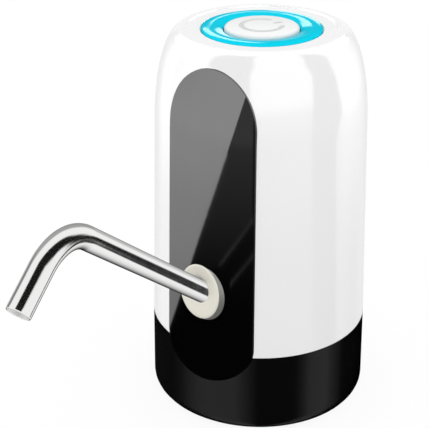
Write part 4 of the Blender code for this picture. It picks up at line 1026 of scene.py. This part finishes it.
back_sides, back_climb = (145, 160), (-10, 5, 0.83, 1.1)
back_wall = product(fade(aside, *back_sides), fade(climb, *back_climb), above_foot)
lean_down, lean_right = -0.1, 0.2
forward = total(
    counted("MULTIPLY", depth, -1), counted("MULTIPLY", height, lean_down),
    counted("MULTIPLY", counted("MAXIMUM", side, 0), lean_right))
overhead_edge, overhead_climb = (0.07, -0.05), (8, 18, 0, 5)
notch_sides, notch_climb = (155, 168), (48, 38)
step_sides, step_climb = (140, 155), (24, 20)
overhead = product(
    fade(forward, *overhead_edge), fade(climb, *overhead_climb),
    away(product(fade(aside, *notch_sides), fade(climb, *notch_climb))),
    away(product(fade(aside, *step_sides), fade(climb, *step_climb))))
card_sides, card_bottom, card_top = (165, 172, 0, 2.3), (23, 24), (27.2, 26.4)
top_card = product(fade(aside, *card_sides), fade(climb, *card_bottom), fade(climb, *card_top))

upper_line = [(-27, -90), (-25.9, -60), (-24.87, -39.2), (-22.75, -7.6)]
lower_line = [(-25.77, -29.1), (-24.44, -7.1)]
room_rise, room_end = (-28, -14, 0, 0.75), (10, 0, 0, 0.65)
room = product(
    fade(climb, *room_rise), away(product(beyond(across, climb, upper_line, edge_soft), fade(across, *room_end))))
streak_reach = 2.2
upper_start, upper_end = (-25.2, -24.9, 0, 0.62), (-22.5, -22.7)
upper_streak = product(
    near_line(across, climb, upper_line, streak_reach), fade(climb, *upper_start), fade(climb, *upper_end))
lower_start, lower_end = (-25.95, -25.8, 0, 0.54), (-24.2, -24.4)
lower_streak = product(
    near_line(across, climb, lower_line, streak_reach), fade(climb, *lower_start), fade(climb, *lower_end))
shine(brightest(left, front, right, back_wall, overhead, top_card, room, upper_streak, lower_streak))


# The collar sees two dim upright cards, one to each side of the camera. Levels are (across, level).
collar_levels = [
    (-105, 0.01), (-91, 0.05), (-79, 0.17), (-68, 0.30), (-58, 0.36), (-24, 0.40), (-18, 0.27), (-12, 0.18), (0, 0),
    (42, 0), (50, 0.12), (55, 0.24), (60, 0.37), (80, 0.36), (87, 0.20), (93, 0.12), (105, 0),
]
side, depth, _ = position(surround("collar_cards", 33, camera_round, served=[collar]))
shine(curved(bearing(side, depth), collar_levels))


# The spout sees a white room with black cards, which draw the dark line along its side. Lines are (round,
# sideways): the turn about the X axis from the back in degrees, and the share along X.
side, depth, height = position(surround("spout_room", 31, 0, served=[spout]))
round_x = counted("DEGREES", counted("ARCTAN2", height, depth))
low_near = [(-54, 0.38), (-47, 0.38), (-40, 0.41), (-33, 0.41), (-28, 0.39), (-24, 0.36), (-18, 0.32)]
low_far = [(-54, 0.56), (-40, 0.56), (-33, 0.58), (-26, 0.63), (-18, 0.68)]
low_near_soft, low_far_soft = 0.02, 0.03
low_start, low_end = (-56, -50), (-12, -19)
low_card = product(
    beyond(side, round_x, low_near, low_near_soft), away(beyond(side, round_x, low_far, low_far_soft)),
    fade(round_x, *low_start), fade(round_x, *low_end))
card_near = [
    (-21, 0.45), (-14, 0.50), (-7, 0.54), (8, 0.55), (22, 0.56), (30, 0.54), (39, 0.48), (66, 0.30), (80, 0.20),
    (114, -0.12),
]
card_far = [
    (-21, 0.72), (-10, 0.75), (5, 0.79), (26, 0.84), (46, 0.87), (60, 0.90), (92, 0.86), (103, 0.81), (110, 0.76),
]
card_near_soft, card_far_soft = 0.07, 0.05
card_start, card_end = (-24, -18), (140, 128)
card = product(
    beyond(side, round_x, card_near, card_near_soft), away(beyond(side, round_x, card_far, card_far_soft)),
    fade(round_x, *card_start), fade(round_x, *card_end))
dim_line = [(-10, -0.05), (3, 0.00), (26, 0.10), (40, 0.28), (50, 0.42), (80, 0.74), (100, 0.90)]
dim_soft = 0.13
dim_start, dim_end = (-14, 2, 0, 0.6), (110, 90)
leftward = counted("MULTIPLY", side, -1)
dim_side = product(
    beyond(leftward, round_x, dim_line, dim_soft), fade(round_x, *dim_start), fade(round_x, *dim_end))
floor_way = (-0.50, 0.644, -0.579)
floor_fade, end_fade = (55, 8), (30, 8, 0, 0.6)
floor_side = total(*(counted("MULTIPLY", part, share) for part, share in zip((side, depth, height), floor_way)))
floor_card = fade(counted("DEGREES", counted("ARCCOSINE", floor_side)), *floor_fade)
end_card = fade(counted("DEGREES", counted("ARCCOSINE", leftward)), *end_fade)
white_room = product(away(low_card), away(card), away(dim_side), away(floor_card), away(end_card))
room_level, card_level = 1.08, 0.012
shine(counted("MULTIPLY_ADD", white_room, room_level, card_level))


# The ring sees two lamps across from the camera, the left one higher, over a low glow. The button sees an
# even room that is dimmer near the floor. Sides are parts of the radius, and climbs are in degrees.
side, depth, height = position(surround("ring_room", 34, camera_round, served=[ring]))
climb = elevation(height)
left_inner, left_outer, left_bottom, left_top = (0.01, -0.02), (-0.26, -0.20), (16.5, 18.5, 0, 2.6), (30, 26)
left_lamp = product(
    fade(side, *left_inner), fade(side, *left_outer), fade(climb, *left_bottom), fade(climb, *left_top))
right_inner, right_outer, right_bottom, right_top = (0.00, 0.02), (0.18, 0.13), (-3, 1, 0, 1.9), (15, 11)
right_lamp = product(
    fade(side, *right_inner), fade(side, *right_outer), fade(climb, *right_bottom), fade(climb, *right_top))
glow_sides, glow_top = (0.10, 0.03), (12, 6, 0, 0.35)
low_glow = product(fade(counted("ABSOLUTE", side), *glow_sides), fade(climb, *glow_top))
behind_fade, dim_level = (0, 0.2), 0.05
behind = product(fade(depth, *behind_fade), brightest(left_lamp, right_lamp, low_glow))
shine(total(behind, dim_level))
button_fade = (12, 24, 0.6, 1.55)
climb = elevation(position(surround("button_room", 32, 0, served=[button, sign]))[2])
shine(fade(climb, *button_fade))

bpy.context.scene.view_settings.view_transform = "Standard"
